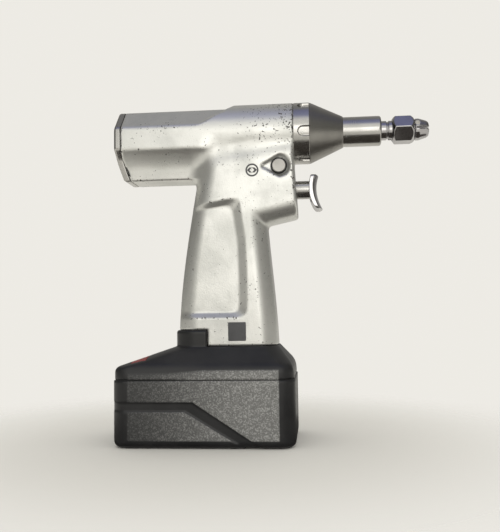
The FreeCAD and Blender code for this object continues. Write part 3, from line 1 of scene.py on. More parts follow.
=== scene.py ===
# %% [markdown]
# # Surgical reciprocating saw
#
# A pistol-grip bone saw that stands on its battery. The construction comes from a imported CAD
# model, which says where every piece sits. This script dresses it: smooth skins for the cast
# body, the turned nose and the battery, and a worked-out finish for every surface.
#
# Lengths are written in millimetres and turned into metres when a mesh is made.

# %% Load the frame
import json
import math

import bpy
import numpy as np
from mathutils import Matrix, Vector


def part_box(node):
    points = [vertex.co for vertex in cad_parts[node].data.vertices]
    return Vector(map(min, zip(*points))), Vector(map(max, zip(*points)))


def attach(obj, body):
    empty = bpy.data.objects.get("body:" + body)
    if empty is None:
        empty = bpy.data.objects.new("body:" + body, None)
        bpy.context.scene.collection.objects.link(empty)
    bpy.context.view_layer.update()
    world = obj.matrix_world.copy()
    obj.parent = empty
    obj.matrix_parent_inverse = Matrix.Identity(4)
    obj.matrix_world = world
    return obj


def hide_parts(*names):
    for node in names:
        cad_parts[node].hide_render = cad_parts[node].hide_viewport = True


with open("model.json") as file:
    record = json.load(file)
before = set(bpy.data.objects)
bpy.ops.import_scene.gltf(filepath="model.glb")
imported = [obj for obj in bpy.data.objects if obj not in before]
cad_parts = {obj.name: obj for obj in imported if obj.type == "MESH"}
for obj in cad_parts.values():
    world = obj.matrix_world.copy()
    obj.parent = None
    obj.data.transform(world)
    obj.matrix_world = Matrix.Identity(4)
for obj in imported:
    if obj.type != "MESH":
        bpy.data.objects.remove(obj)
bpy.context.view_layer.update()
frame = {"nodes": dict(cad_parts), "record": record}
NODES = frame["nodes"]
MM = 0.001


def node_box(name):
    """Lowest and highest corner of a CAD node, in millimetres."""
    low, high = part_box(name)
    return np.array(low) / MM, np.array(high) / MM


# %% [markdown]
# The camera repeats the viewing angle of the photograph. Its place and turn were found by
# matching two dozen corners of the CAD model with the photograph; the focal length is in
# pixels of a picture 532 pixels high.

# %% Camera
PHOTO_HEIGHT = 532
FOCAL_PIXELS = 698.2
SENSOR = 36.0
CAMERA_PLACE = np.array([66.98, -434.5, 81.33])
CAMERA_YAW = math.radians(-5.382)
CAMERA_PITCH = math.radians(3.362)
CAMERA_ROLL = math.radians(-0.836)


def camera_axes(yaw, pitch, roll):
    """Right, up and forward of a camera that looks along +Y, is turned about the vertical by yaw,
    raised by pitch and rolled about its own line of sight."""
    level = math.cos(pitch)
    forward = np.array([math.sin(yaw) * level, math.cos(yaw) * level, math.sin(pitch)])
    right = np.array([math.cos(yaw), -math.sin(yaw), 0.0])
    up = np.cross(right, forward)
    turned_right = right * math.cos(roll) + up * math.sin(roll)
    turned_up = up * math.cos(roll) - right * math.sin(roll)
    return turned_right, turned_up, forward


def make_camera():
    """A camera whose lens gives the focal length on the long side of the picture."""
    data = bpy.data.cameras.new("camera")
    data.sensor_width = SENSOR
    data.lens = FOCAL_PIXELS * SENSOR / PHOTO_HEIGHT
    camera = bpy.data.objects.new("camera", data)
    right, up, forward = camera_axes(CAMERA_YAW, CAMERA_PITCH, CAMERA_ROLL)
    turn = np.eye(4)
    turn[:3, 0], turn[:3, 1], turn[:3, 2] = right, up, -forward
    turn[:3, 3] = CAMERA_PLACE * MM
    camera.matrix_world = Matrix(turn.tolist())
    bpy.context.scene.collection.objects.link(camera)
    bpy.context.scene.camera = camera
    return camera


camera = make_camera()
print(f"lens {camera.data.lens:.1f} mm")

# %% [markdown]
# A material in this file is a small tree of shader nodes. Three helpers keep the trees short:
# `add` makes a node and feeds its sockets, `group` starts a node group, a tree that several
# materials share, and `use` places such a group in a material.

# %% Node helpers


def feed(tree, socket, value):
    """Wires another node's output to a socket, or sets a number or a colour on it."""
    if isinstance(value, bpy.types.NodeSocket):
        tree.links.new(value, socket)
    else:
        socket.default_value = (*value, 1.0) if isinstance(value, tuple) else value


def add(tree, kind, settings=None, **sockets):
    """A node of one kind. Settings are its own attributes. Sockets carry the names of its inputs,
    with underscores for spaces, or i0, i1 and so on where a name comes more than once."""
    made = tree.nodes.new(kind)
    for key, value in (settings or {}).items():
        setattr(made, key, value)
    for key, value in sockets.items():
        numbered = key[0] == "i" and key[1:].isdigit()
        feed(tree, made.inputs[int(key[1:]) if numbered else key.replace("_", " ")], value)
    return made


def group(name, inputs, outputs):
    """An empty node group with named float inputs, each with its usual value, and outputs."""
    tree = bpy.data.node_groups.new(name, "ShaderNodeTree")
    for label, value in inputs.items():
        socket = tree.interface.new_socket(label, in_out="INPUT", socket_type="NodeSocketFloat")
        socket.default_value = value
    for label in outputs:
        tree.interface.new_socket(label, in_out="OUTPUT", socket_type="NodeSocketFloat")
    return tree, add(tree, "NodeGroupInput").outputs, add(tree, "NodeGroupOutput").inputs


def use(tree, shared, **values):
    """A shared group placed in a tree; returns its outputs."""
    return add(tree, "ShaderNodeGroup", {"node_tree": shared}, **values).outputs


def maths(tree, operation, first, second=0.0, third=0.5):
    """One step of arithmetic between sockets or numbers."""
    return add(tree, "ShaderNodeMath", {"operation": operation}, i0=first, i1=second, i2=third).outputs[0]


# %% Small steps in a tree


def between(tree, share, low, high):
    """Carries a share from 0 to 1 over to the range low to high."""
    return add(tree, "ShaderNodeMapRange", None, Value=share, To_Min=low, To_Max=high).outputs[0]


def step_up(tree, value, low, high):
    """0 below low, 1 above high, and a smooth ramp between."""
    return add(tree, "ShaderNodeMapRange", {"interpolation_type": "SMOOTHSTEP"}, Value=value, From_Min=low,
               From_Max=high).outputs[0]


def tint(tree, share, first, second):
    """A colour that goes from the first to the second with the share."""
    return add(tree, "ShaderNodeMix", {"data_type": "RGBA"}, Factor=share, i6=first, i7=second).outputs[2]


def noise(tree, vector, scale, detail=2.0, roughness=0.5):
    """Cloudy noise from 0 to 1 at a scale in cycles per metre."""
    return add(tree, "ShaderNodeTexNoise", None, Vector=vector, Scale=scale, Detail=detail,
               Roughness=roughness).outputs[0]


def place(tree):
    """The point on the piece in its own metres."""
    return add(tree, "ShaderNodeTexCoord").outputs["Object"]


def split(tree, vector):
    """The X, Y and Z of a vector."""
    return add(tree, "ShaderNodeSeparateXYZ", None, Vector=vector).outputs


# %% [markdown]
# Four effects come back in several finishes, so each is a group made once.
#
# - Grain: the fine unevenness of paint, casting and moulded plastic.
# - Chips: small dark pits where paint has come off, many along edges and few on the flats.
# - Turning marks: fine rings round the barrel axis, left by a lathe tool.
# - Smudges: large soft patches where hands have dulled or polished a surface.

# %% Shared effects


def grain_group():
    """Fine noise plus a coarser one; out comes a height from 0 to 1."""
    tree, given, out = group("grain", {"Scale": 1500.0, "Coarse": 0.4}, ["Height"])
    where = place(tree)
    fine = noise(tree, where, given["Scale"], 3.0)
    wide = noise(tree, where, maths(tree, "MULTIPLY", given["Scale"], 0.22), 2.0)
    mixed = maths(tree, "MULTIPLY_ADD", wide, given["Coarse"], fine)
    tree.links.new(mixed, out["Height"])
    return tree


def chips_group():
    """Noise above a threshold that edges lower; out comes a mask, 1 in a chip."""
    tree, given, out = group("chips", {"Scale": 700.0, "Amount": 0.3, "Edge": 0.0}, ["Mask"])
    where = place(tree)
    fine = noise(tree, where, given["Scale"], 2.0, 0.6)
    area = noise(tree, where, maths(tree, "MULTIPLY", given["Scale"], 0.09), 2.0)
    lowered = maths(tree, "MULTIPLY_ADD", area, 0.22, fine)
    lowered = maths(tree, "MULTIPLY_ADD", given["Edge"], 0.09, lowered)
    level = maths(tree, "SUBTRACT", 0.98, maths(tree, "MULTIPLY", given["Amount"], 0.3))
    over = maths(tree, "SUBTRACT", lowered, level)
    tree.links.new(step_up(tree, over, 0.0, 0.02), out["Mask"])
    return tree


def turning_group():
    """Noise of the place along the axis and the radius from it, so that it makes rings."""
    tree, given, out = group("turning", {"Scale": 2500.0, "Axis height": 0.1895}, ["Height"])
    parts = split(tree, place(tree))
    rise = maths(tree, "SUBTRACT", parts["Z"], given["Axis height"])
    square = maths(tree, "MULTIPLY_ADD", rise, rise, maths(tree, "MULTIPLY", parts["Y"], parts["Y"]))
    radius = maths(tree, "SQRT", square)
    ring = add(tree, "ShaderNodeCombineXYZ", None, X=parts["X"], Y=radius, Z=0.0).outputs[0]
    tree.links.new(noise(tree, ring, given["Scale"], 2.0), out["Height"])
    return tree


def smudge_group():
    """Large soft noise; out comes a share from 0 to 1."""
    tree, given, out = group("smudges", {"Scale": 60.0}, ["Share"])
    wide = noise(tree, place(tree), given["Scale"], 4.0, 0.6)
    tree.links.new(step_up(tree, wide, 0.38, 0.66), out["Share"])
    return tree


GRAIN, CHIPS, TURNING, SMUDGES = grain_group(), chips_group(), turning_group(), smudge_group()
print("shared effects:", ", ".join(g.name for g in (GRAIN, CHIPS, TURNING, SMUDGES)))

# %% [markdown]
# The finishes. The painted casting and the battery's plastic have a function each; the steels and
# the other mouldings are rows of two tables. The real saw has silver paint over a casting,
# chipped at the edges; polished, satin and ground steel; and black moulded plastic whose flanks
# sparkle, which the battery's finish paints into its colour as sheen and glints. What lies inside
# gets its own plain but worked finish, because it shows when the battery comes off or the saw is opened.

# %% Start of a finish


def finish_tree(name):
    """A new material with a Principled shader; returns the material, its tree and the shader."""
    material = bpy.data.materials.new(name)
    material.use_nodes = True
    tree = material.node_tree
    shader = next(n for n in tree.nodes if n.type == "BSDF_PRINCIPLED")
    return material, tree, shader


def set_sockets(tree, shader, **values):
    """Wires outputs or sets numbers and colours on the shader; underscores stand for spaces."""
    for key, value in values.items():
        feed(tree, shader.inputs[key.replace("_", " ")], value)


def bump(tree, height, strength, distance):
    """A normal tilted by a height map; the distance is the height of 1 in metres."""
    return add(tree, "ShaderNodeBump", None, Height=height, Strength=strength, Distance=distance).outputs[0]


# %% Silver paint on the casting
PAINT_LIGHT = (0.78, 0.78, 0.75)
PAINT_DULL = (0.66, 0.665, 0.635)
PAINT_FLAKE = (0.84, 0.84, 0.81)
CHIP_COLOUR = (0.05, 0.045, 0.04)
PAINT_METAL, PAINT_ROUGH = 0.85, 0.34
WORN_X, WORN_Z = (0.005, 0.050), (0.172, 0.186)
CHIPS_USUAL, CHIPS_WORN = 0.56, 0.22


def painted_casting():
    """Silver paint: a mottled light grey, duller in patches, with dark chips by the edges and more
    of them over the front of the barrel."""
    material, tree, shader = finish_tree("painted_casting")
    edge = add(tree, "ShaderNodeAttribute", {"attribute_name": "edge"}).outputs["Fac"]
    parts = split(tree, place(tree))
    worn = maths(tree, "MULTIPLY", step_up(tree, parts["X"], *WORN_X), step_up(tree, parts["Z"], *WORN_Z))
    grain = use(tree, GRAIN, Scale=1300.0)["Height"]
    smudge = use(tree, SMUDGES, Scale=45.0)["Share"]
    amount = maths(tree, "MULTIPLY_ADD", worn, CHIPS_WORN, CHIPS_USUAL)
    chip = use(tree, CHIPS, Scale=760.0, Amount=amount, Edge=edge)["Mask"]
    paint = tint(tree, smudge, PAINT_LIGHT, PAINT_DULL)
    mottled = tint(tree, between(tree, grain, -0.2, 0.5), paint, PAINT_FLAKE)
    height = maths(tree, "MULTIPLY_ADD", chip, -0.8, grain)
    set_sockets(tree, shader, Base_Color=tint(tree, chip, mottled, CHIP_COLOUR),
                Roughness=maths(tree, "MULTIPLY_ADD", smudge, 0.08, PAINT_ROUGH),
                Metallic=maths(tree, "MULTIPLY_ADD", chip, -PAINT_METAL, PAINT_METAL),
                Normal=bump(tree, height, 0.6, 0.00012))
    return material


# %% Steels


STEELS = {
    "polished_steel": ((0.56, 0.55, 0.53), 0.15, 0.3),
    "satin_steel": ((0.36, 0.35, 0.33), 0.26, 0.8),
    "shaft_steel": ((0.56, 0.55, 0.56), 0.07, 0.2),
    "gear_steel": ((0.36, 0.36, 0.38), 0.30, 0.3),
    "screw_steel": ((0.52, 0.52, 0.53), 0.22, 0.4),
    "bearing_bronze": ((0.56, 0.38, 0.18), 0.30, 0.3),
    "frame_aluminium": ((0.62, 0.63, 0.65), 0.34, 0.8),
    "motor_steel": ((0.30, 0.31, 0.33), 0.34, 0.5),
    "contact_copper": ((0.78, 0.58, 0.28), 0.22, 0.2),
    "spring_steel": ((0.50, 0.50, 0.52), 0.25, 0.2),
}
SHINE_SPREAD = 0.08


def steel(name, colour, rough, marks):
    """Turned metal: rings in the roughness and the bump, and soft smudges."""
    material, tree, shader = finish_tree(name)
    ring = use(tree, TURNING)["Height"]
    smudge = use(tree, SMUDGES, Scale=70.0)["Share"]
    shine = maths(tree, "MULTIPLY_ADD", smudge, SHINE_SPREAD, rough)
    set_sockets(tree, shader, Base_Color=tint(tree, smudge, colour, tuple(0.88 * c for c in colour)),
                Roughness=maths(tree, "MULTIPLY_ADD", ring, SHINE_SPREAD, shine), Metallic=1.0,
                Normal=bump(tree, ring, marks, 0.00002))
    return material


# %% Plastics, rubber and boards


MOULDINGS = {
    "seal_rubber": ((0.018, 0.018, 0.018), 0.6),
    "board_green": ((0.03, 0.16, 0.07), 0.4, 900.0),
    "chip_black": ((0.02, 0.02, 0.02), 0.45),
    "harness_sleeve": ((0.03, 0.03, 0.035), 0.55),
    "release_red": ((0.36, 0.085, 0.075), 0.42, 1800.0, (0.30, 0.06, 0.055)),
    "cell_sleeve": ((0.03, 0.13, 0.30), 0.28),
    "holder_plastic": ((0.62, 0.62, 0.56), 0.5),
    "mark_dark": ((0.10, 0.10, 0.105), 0.5),
}


def moulded(name, colour, rough, grain_scale=1800.0, second=None):
    """Moulded material: fine grain in the bump and a slow drift of the colour."""
    material, tree, shader = finish_tree(name)
    grain = use(tree, GRAIN, Scale=grain_scale)["Height"]
    smudge = use(tree, SMUDGES, Scale=50.0)["Share"]
    drift = second or tuple(0.8 * c for c in colour)
    set_sockets(tree, shader, Base_Color=tint(tree, smudge, colour, drift),
                Roughness=maths(tree, "MULTIPLY_ADD", smudge, 0.1, rough),
                Normal=bump(tree, grain, 0.5, 0.00005))
    return material


BAND_UPPER, BAND_LOWER = (27.0, 23.4, -0.651), (21.2, 15.0, -0.602)


def flank_panel(tree):
    """Share of the textured panels: 1 on the flat flanks of the battery, 0 on its rounded corners
    and edges and in the band, whose upper and lower edge are each the smaller of a level and a
    sloping line."""
    parts = split(tree, place(tree))
    x, z = parts["X"], parts["Z"]
    flank = step_up(tree, maths(tree, "ABSOLUTE", parts["Y"]), 0.0318, 0.0323)
    off_middle = maths(tree, "ABSOLUTE", maths(tree, "SUBTRACT", x, 0.0004))
    length = maths(tree, "SUBTRACT", 1.0, step_up(tree, off_middle, 0.0437, 0.0447))
    height = maths(tree, "MULTIPLY", step_up(tree, z, 0.0042, 0.0052),
                   maths(tree, "SUBTRACT", 1.0, step_up(tree, z, 0.0452, 0.0464)))
    upper, lower = [maths(tree, "MINIMUM", level * MM, maths(tree, "MULTIPLY_ADD", x, slope, start * MM))
                    for level, start, slope in (BAND_UPPER, BAND_LOWER)]
    within = maths(tree, "MINIMUM", maths(tree, "SUBTRACT", upper, z), maths(tree, "SUBTRACT", z, lower))
    clear = maths(tree, "SUBTRACT", 1.0, step_up(tree, within, -0.0003, 0.0004))
    flat = maths(tree, "MULTIPLY", flank, length)
    return maths(tree, "MULTIPLY", flat, maths(tree, "MULTIPLY", height, clear))


CASE_DARK, CASE_DARK_WORN = (0.016, 0.016, 0.017), (0.024, 0.024, 0.025)
# Panel grey: partly the textured plastic's own tone, partly painted sheen. Glint grey: painted glints.
PANEL_GREY_AND_SHEEN, PAINTED_GLINT_GREY = (0.18, 0.18, 0.175), (0.42, 0.42, 0.41)


def case_black():
    """Black battery plastic: spark-eroded panels on the flat flanks, grey partly from their texture and
    partly as painted sheen, with painted glints and a painted sheen that grows towards the front;
    smooth dark plastic on the corners, on top and in the band."""
    material, tree, shader = finish_tree("case_black")
    panel = flank_panel(tree)
    grain = use(tree, GRAIN, Scale=1500.0, Coarse=0.2)["Height"]
    smudge = use(tree, SMUDGES, Scale=40.0)["Share"]
    forward = split(tree, place(tree))["X"]
    # Painted sheen: the panels' grey and glints rise from 0.14 of full at the rear to full at the front.
    sheen = maths(tree, "MULTIPLY_ADD", step_up(tree, forward, -0.045, 0.035), 0.86, 0.14)
    panel_and_sheen = maths(tree, "MULTIPLY", panel, sheen)
    # Painted glints: grey specks where the grain is high, on the panels and scaled by the painted sheen.
    spark = maths(tree, "MULTIPLY", step_up(tree, grain, 0.52, 0.82), panel_and_sheen)
    base = tint(tree, panel_and_sheen, tint(tree, smudge, CASE_DARK, CASE_DARK_WORN), PANEL_GREY_AND_SHEEN)
    shade = tint(tree, spark, base, PAINTED_GLINT_GREY)
    rough = maths(tree, "MULTIPLY_ADD", panel, 0.10, maths(tree, "MULTIPLY_ADD", smudge, 0.08, 0.36))
    depth = maths(tree, "MULTIPLY", grain, panel)
    set_sockets(tree, shader, Base_Color=shade, Roughness=rough, Normal=bump(tree, depth, 0.8, 0.0002))
    return material


MATERIALS = {"painted_casting": painted_casting(), "case_black": case_black()}
MATERIALS.update({name: steel(name, *row) for name, row in STEELS.items()})
MATERIALS.update({name: moulded(name, *row) for name, row in MOULDINGS.items()})
print(f"{len(MATERIALS)} finishes")


def dress_nodes():
    """Gives each CAD node the material of the slot that the record names for it."""
    for part in frame["record"]["subparts"]:
        mesh = NODES[part["node"]].data
        mesh.materials.clear()
        mesh.materials.append(MATERIALS[part["material_slot"]])


dress_nodes()

# %% [markdown]
# Most of the new pieces have a rounded, flowing shape that is cut and joined from simpler ones.
# The simplest way to say such a shape is a field: a function of x, y and z that is negative
# inside the piece, zero on its skin and, near it, about the distance in millimetres. Joining two
# shapes is then the smaller of their two fields, cutting is the larger, and a soft version of
# either rounds the corner between them like the fillets of a casting.
#
# `skin` finds the zero surface on a regular grid: each cell that the surface crosses gets one
# vertex, each crossed grid edge one face, and a few Newton steps bring the vertices onto the
# surface exactly. All of it works on whole arrays.

# %% Fields and their skins


def soft_max(first, second, radius):
    """The larger of two fields; where they differ by less than the radius, the corner between them
    is rounded by adding the square of the shortfall over four radii."""
    near = np.clip(radius - np.abs(first - second), 0, None)
    return np.maximum(first, second) + near * near / (4 * radius)


def soft_min(first, second, radius):
    """The smaller of two fields, with the inner corner filled in the same way."""
    return -soft_max(-first, -second, radius)


def smooth_share(value, low, high):
    """0 below low, 1 above high, and 3t squared minus 2t cubed between."""
    t = np.clip((value - low) / (high - low), 0, 1)
    return t * t * (3 - 2 * t)


print(f"a corner rounded over 2 mm loses {soft_max(0.0, 0.0, 2.0):.1f} mm at its tip")

# %% Slopes


def gradient(field, points, step=0.02):
    """Slope of the field at each point, by differences a step apart along each axis."""
    slopes = []
    for axis in range(3):
        shift = np.zeros(3)
        shift[axis] = step
        slopes.append((field(*(points + shift).T) - field(*(points - shift).T)) / (2 * step))
    return np.stack(slopes, axis=1)


# %% From a field to a mesh


def crossings(values, axis):
    """Where the sign changes between grid neighbours along an axis, and how far along."""
    near = np.moveaxis(values, axis, 0)[:-1]
    far = np.moveaxis(values, axis, 0)[1:]
    crossed = (near < 0) != (far < 0)
    share = np.where(crossed, near / np.where(crossed, near - far, 1), 0)
    return np.moveaxis(crossed, 0, axis), np.moveaxis(share, 0, axis), np.moveaxis(near < 0, 0, axis)


def cell_points(values, found):
    """Place of each crossed cell's vertex: the mean of the crossings on its twelve edges, in cells."""
    cells = tuple(n - 1 for n in values.shape)
    total, count = np.zeros(cells + (3,)), np.zeros(cells)
    for axis, (crossed, share, _) in enumerate(found):
        along = np.stack(np.indices(crossed.shape), axis=-1).astype(float)
        along[..., axis] += share
        others = [a for a in range(3) if a != axis]
        for backs in ((0, 0), (0, 1), (1, 0), (1, 1)):
            source, target = [slice(None)] * 3, [slice(None)] * 3
            for other, back in zip(others, backs):
                source[other] = slice(back, values.shape[other] - 1 + back)
                target[other] = slice(0, values.shape[other] - 1)
            source, target = tuple(source), tuple(target)
            total[target] += along[source] * crossed[source][..., None]
            count[target] += crossed[source]
    return total, count


def net(values, low, pitch):
    """Vertices and quads of the zero surface of a field sampled on a grid."""
    found = [crossings(values, axis) for axis in range(3)]
    total, count = cell_points(values, found)
    used = count > 0
    number = np.full(count.shape, -1)
    number[used] = np.arange(used.sum())
    quads = []
    for axis, (crossed, _, inside) in enumerate(found):
        a, b = [other for other in range(3) if other != axis]
        at = np.argwhere(crossed)
        corners = []
        for back_a, back_b in ((0, 0), (1, 0), (1, 1), (0, 1)):
            cell = at.copy()
            cell[:, a] -= back_a
            cell[:, b] -= back_b
            corners.append(number[tuple(cell.T)])
        quad = np.stack(corners, axis=1)
        turn = inside[tuple(at.T)] ^ (axis == 1)
        quad[turn] = quad[turn][:, ::-1]
        quads.append(quad)
    return low + pitch * total[used] / count[used][:, None], np.concatenate(quads)[:, ::-1]


def skin(field, low, high, pitch, steps=4):
    """Closed mesh of the zero surface of a field inside a box, in millimetres."""
    low, high = np.array(low, float), np.array(high, float)
    axes = [np.arange(a - 2 * pitch, b + 3 * pitch, pitch) for a, b in zip(low, high)]
    values = field(*np.meshgrid(*axes, indexing="ij"))
    points, quads = net(values, low - 2 * pitch, pitch)
    for _ in range(steps):
        slope = gradient(field, points)
        size = np.maximum((slope * slope).sum(axis=1), 0.05)
        move = slope * (field(*points.T) / size)[:, None]
        points = points - np.clip(move, -pitch, pitch)
    return points, quads


# %% A finished piece


def make_piece(name, points, faces, body, slot, replaces=(), attributes=None):
    """A mesh object from millimetre points, riding on a body, finished by a slot's material."""
    mesh = bpy.data.meshes.new(name)
    mesh.from_pydata((points * MM).tolist(), [], faces.tolist())
    mesh.shade_smooth()
    for label, values in (attributes or {}).items():
        layer = mesh.attributes.new(label, "FLOAT", "POINT")
        layer.data.foreach_set("value", np.asarray(values, dtype=np.float32))
    mesh.materials.append(MATERIALS[slot])
    piece = bpy.data.objects.new(name, mesh)
    bpy.context.scene.collection.objects.link(piece)
    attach(piece, body)
    if replaces:
        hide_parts(*replaces)
    print(f"{name}: {len(points)} points, {len(faces)} faces")
    return piece


def convexity(points, faces, normals, reach):
    """How far each vertex stands out from the mean of its neighbours, along its normal and over a
    reach in millimetres: near 1 on an outer edge, 0 on a flat, below 0 in a corner."""
    total = np.zeros_like(points)
    count = np.zeros(len(points))
    for i in range(faces.shape[1]):
        np.add.at(total, faces[:, i], points[faces[:, (i + 1) % faces.shape[1]]])
        np.add.at(count, faces[:, i], 1)
    lift = points - total / np.maximum(count, 1)[:, None]
    return np.clip((lift * normals).sum(axis=1) / reach, -1, 1)


# %% [markdown]
# The body is one casting: an angular rear body under a bevelled top, which turns round towards
# the front; a narrow block below it; and a handle whose flat flanks run up into the barrel. Its
# parts melt into each other, so it is made as a field. The numbers are those of the CAD model,
# but for the block, which reaches 2.5 mm lower and has a slight draft, as in the photograph.

# %% Barrel and lower block
AXIS_Z = 189.5
BARREL_R = 19.0
BARREL_X = (-51.2, 54.8)
REAR_SIDE, REAR_TOP, REAR_BEVEL, REAR_LOW, REAR_CORNER = 19.0, 16.2, 22.2, -10.8, 1.4
BLOCK_HALF, BLOCK_TOP, BLOCK_LOW, BLOCK_LEAN, BLOCK_DRAFT = 13.0, -14.9, -28.8, 4.4, 0.16
BLOCK_FRONT, BLOCK_REACH = 12.0, 15.0
TURN_RISE = [-14.0, -4.0, 3.0, 4.2, 7.1, 10.0, 12.3, 15.0, 17.0]
TURN_X = [5.0, 4.0, -4.0, -2.0, 2.4, 6.3, 10.8, 13.2, 15.8]


def round_cut(first, second, radius):
    """The larger of two fields with a true quarter circle of the radius between them."""
    a, b = first + radius, second + radius
    return np.minimum(np.maximum(a, b), 0) + np.hypot(np.maximum(a, 0), np.maximum(b, 0)) - radius


def angular_section(y, rise):
    """The rear body's cross section: flat sides, bevelled shoulders, a flat top and a lower bevel,
    as the soft maximum of straight cuts."""
    aside = np.abs(y)
    shape = soft_max(aside - REAR_SIDE, (aside + rise - REAR_BEVEL) / math.sqrt(2), REAR_CORNER)
    shape = soft_max(shape, rise - REAR_TOP, REAR_CORNER)
    shape = soft_max(shape, 0.564 * (aside - REAR_SIDE) - 0.826 * (rise - REAR_LOW), REAR_CORNER)
    return soft_max(shape, BLOCK_TOP - 1.0 - rise, 1.0)


def barrel(x, y, rise):
    """The angular section behind and a circle in front. The place where one turns into the other
    depends on the height, so that the bevel's lower edge sweeps up to the top."""
    circle = np.hypot(y, rise) - BARREL_R
    reach = np.interp(rise, [-8.0, 3.0], [7.0, 2.5])
    share = smooth_share((x - np.interp(rise, TURN_RISE, TURN_X)) / reach, -1.0, 1.0)
    section = angular_section(y, rise) * (1 - share) + circle * share
    return soft_max(section, x - BARREL_X[1], 0.5)


def block_section(y, rise):
    """Flanks with a slight draft and a bottom with a small radius."""
    draft = BLOCK_DRAFT * np.clip(BLOCK_TOP - rise, 0, BLOCK_REACH)
    return round_cut(np.abs(y) - BLOCK_HALF + draft, BLOCK_LOW - rise, 0.8)


def block_lean(rise):
    """How far the block's rear face comes forward below its top."""
    return BLOCK_LEAN * (np.clip(BLOCK_TOP - rise, 0, BLOCK_REACH) / (BLOCK_TOP - BLOCK_LOW)) ** 1.15


def lower_block(x, y, rise):
    """The narrow block, from the rear face to a front end inside the handle."""
    shape = block_section(y, rise)
    return np.maximum(soft_max(shape, x - BLOCK_FRONT, 1.0), rise + 10.0)


print(f"rear body {2 * REAR_SIDE:.0f} mm wide, barrel {2 * BARREL_R:.0f} mm, block {2 * BLOCK_HALF:.0f} mm")

# %% Handle and web
GRIP_Z = 58.3
GRIP_HEIGHTS = GRIP_Z + np.array([0.0, 26.7, 51.7, 76.7, 100.0, 124.0])
REAR_CURVE = np.polyfit(GRIP_HEIGHTS, [-17.7, -16.3, -13.8, -9.7, -5.6, -1.5], 3)
FRONT_CURVE = np.polyfit(GRIP_HEIGHTS, [43.3, 41.7, 39.4, 37.2, 36.0, 36.0], 3)
GRIP_HALF, GRIP_REAR_R, GRIP_FRONT_R = 18.2, 13.2, 10.3
RECESS_HEIGHTS, RECESS_FRONT = [75.0, 85.6, 103.5, 121.6, 142.9], [25.2, 25.7, 25.6, 25.0, 22.0]
RECESS_LOW, RECESS_TOP, RECESS_DEPTH, RECESS_BORDER, RECESS_CORNER = 75.0, 145.0, 2.4, 4.6, 7.0
WEB_LOW, WEB_FRONT, WEB_HEIGHTS = 132.2, 54.8, (136.8, 170.1)


def recess_half_width(x, z):
    """Half width allowed by the side recess: 2.4 mm less on its floor, rising over a sloped border;
    a rounded quadrilateral in side view, open to the rear."""
    right = x - np.interp(z, RECESS_HEIGHTS, RECESS_FRONT)
    top = (z - RECESS_TOP - 0.15 * (x - 3.0)) * 1.4
    low = (RECESS_LOW - z) * 1.5
    edge = soft_max(soft_max(right, top, RECESS_CORNER), low, RECESS_CORNER)
    floor = np.full_like(edge, RECESS_DEPTH)
    depth = soft_min(-edge * (RECESS_DEPTH / RECESS_BORDER), floor, 0.5)
    return GRIP_HALF - soft_max(depth, np.zeros_like(edge), 0.4)


def handle(x, y, z):
    """Handle and web as one: the front edge curves down the handle and runs forward under the web.
    Both edges are rounded over to the flanks, the rear one to the floor of the side recess."""
    height = np.clip(z, GRIP_Z, 182.0)
    below_web = WEB_LOW + 0.22 * (x - 37.7) - z
    front = soft_min(x - np.polyval(FRONT_CURVE, height), below_web, 3.0)
    rear = np.polyval(REAR_CURVE, height) - x
    half = recess_half_width(x, z)
    shape = np.maximum(round_cut(front, np.abs(y) - GRIP_HALF, GRIP_FRONT_R),
                       round_cut(rear, np.abs(y) - half, GRIP_REAR_R - 0.9 * (GRIP_HALF - half)))
    low, high = WEB_HEIGHTS
    web_front = x - WEB_FRONT - 2.0 * np.clip((high - z) / (high - low), 0, 1)
    return soft_max(shape, web_front, 2.2)


def crease_line(x):
    """Height of the upper edge of the flat flank, where the crease under the barrel begins."""
    return 170.9 + 0.183 * (x - 7.0)


print(f"handle {2 * GRIP_HALF:.1f} mm wide, recess {RECESS_DEPTH} mm deep")

# %% Drop and openings
TRIGGER_Z = 153.8
SELECTOR = (46.0, 166.5)
DROP_LENGTH, DROP_R, DROP_TIP_R = 8.6, 7.4, 2.5
TRIGGER_BORE_R, SELECTOR_BORE_R, SHAFT_BORE_R = 7.35, 4.6, 15.0
PLATE_WELL, PLATE_ROOM = (13.5, 24.6, 13.6), 2.5
TOWER_WELL, TOWER_ROOM_TOP = (14.0, 18.0, 9.3), 83.0


def drop_distance(x, z):
    """Distance from the drop round the selector: a wide circle and a small one behind it, joined
    by the cone between them."""
    along = np.clip((SELECTOR[0] - x) / DROP_LENGTH, 0, 1)
    centre_away = np.hypot(x - SELECTOR[0] + along * DROP_LENGTH, z - SELECTOR[1])
    return centre_away - (DROP_R - along * (DROP_R - DROP_TIP_R))


def drop_half_width(x, z):
    """Half width allowed by the drop: a dish that deepens towards the selector."""
    inside = drop_distance(x, z)
    deep = np.interp(x, [36.0, 44.0], [1.3, 2.0])
    return GRIP_HALF - deep * (1 - smooth_share(inside, -2.2, 0.3)) + np.maximum(inside, 0) * 1.5


def rod(first, second, radius):
    """A round bar: the distance from its axis in two directions, less the radius."""
    return np.hypot(first, second) - radius


def bar(first, second, half_first, half_second):
    """A square-edged bar: the larger of two distances, each less its half width."""
    return np.maximum(np.abs(first) - half_first, np.abs(second) - half_second)


def well(x, y, middle, half_x, half_y):
    """A square-edged well seen from above, about a middle on the X axis."""
    return bar(x - middle, y, half_x, half_y)


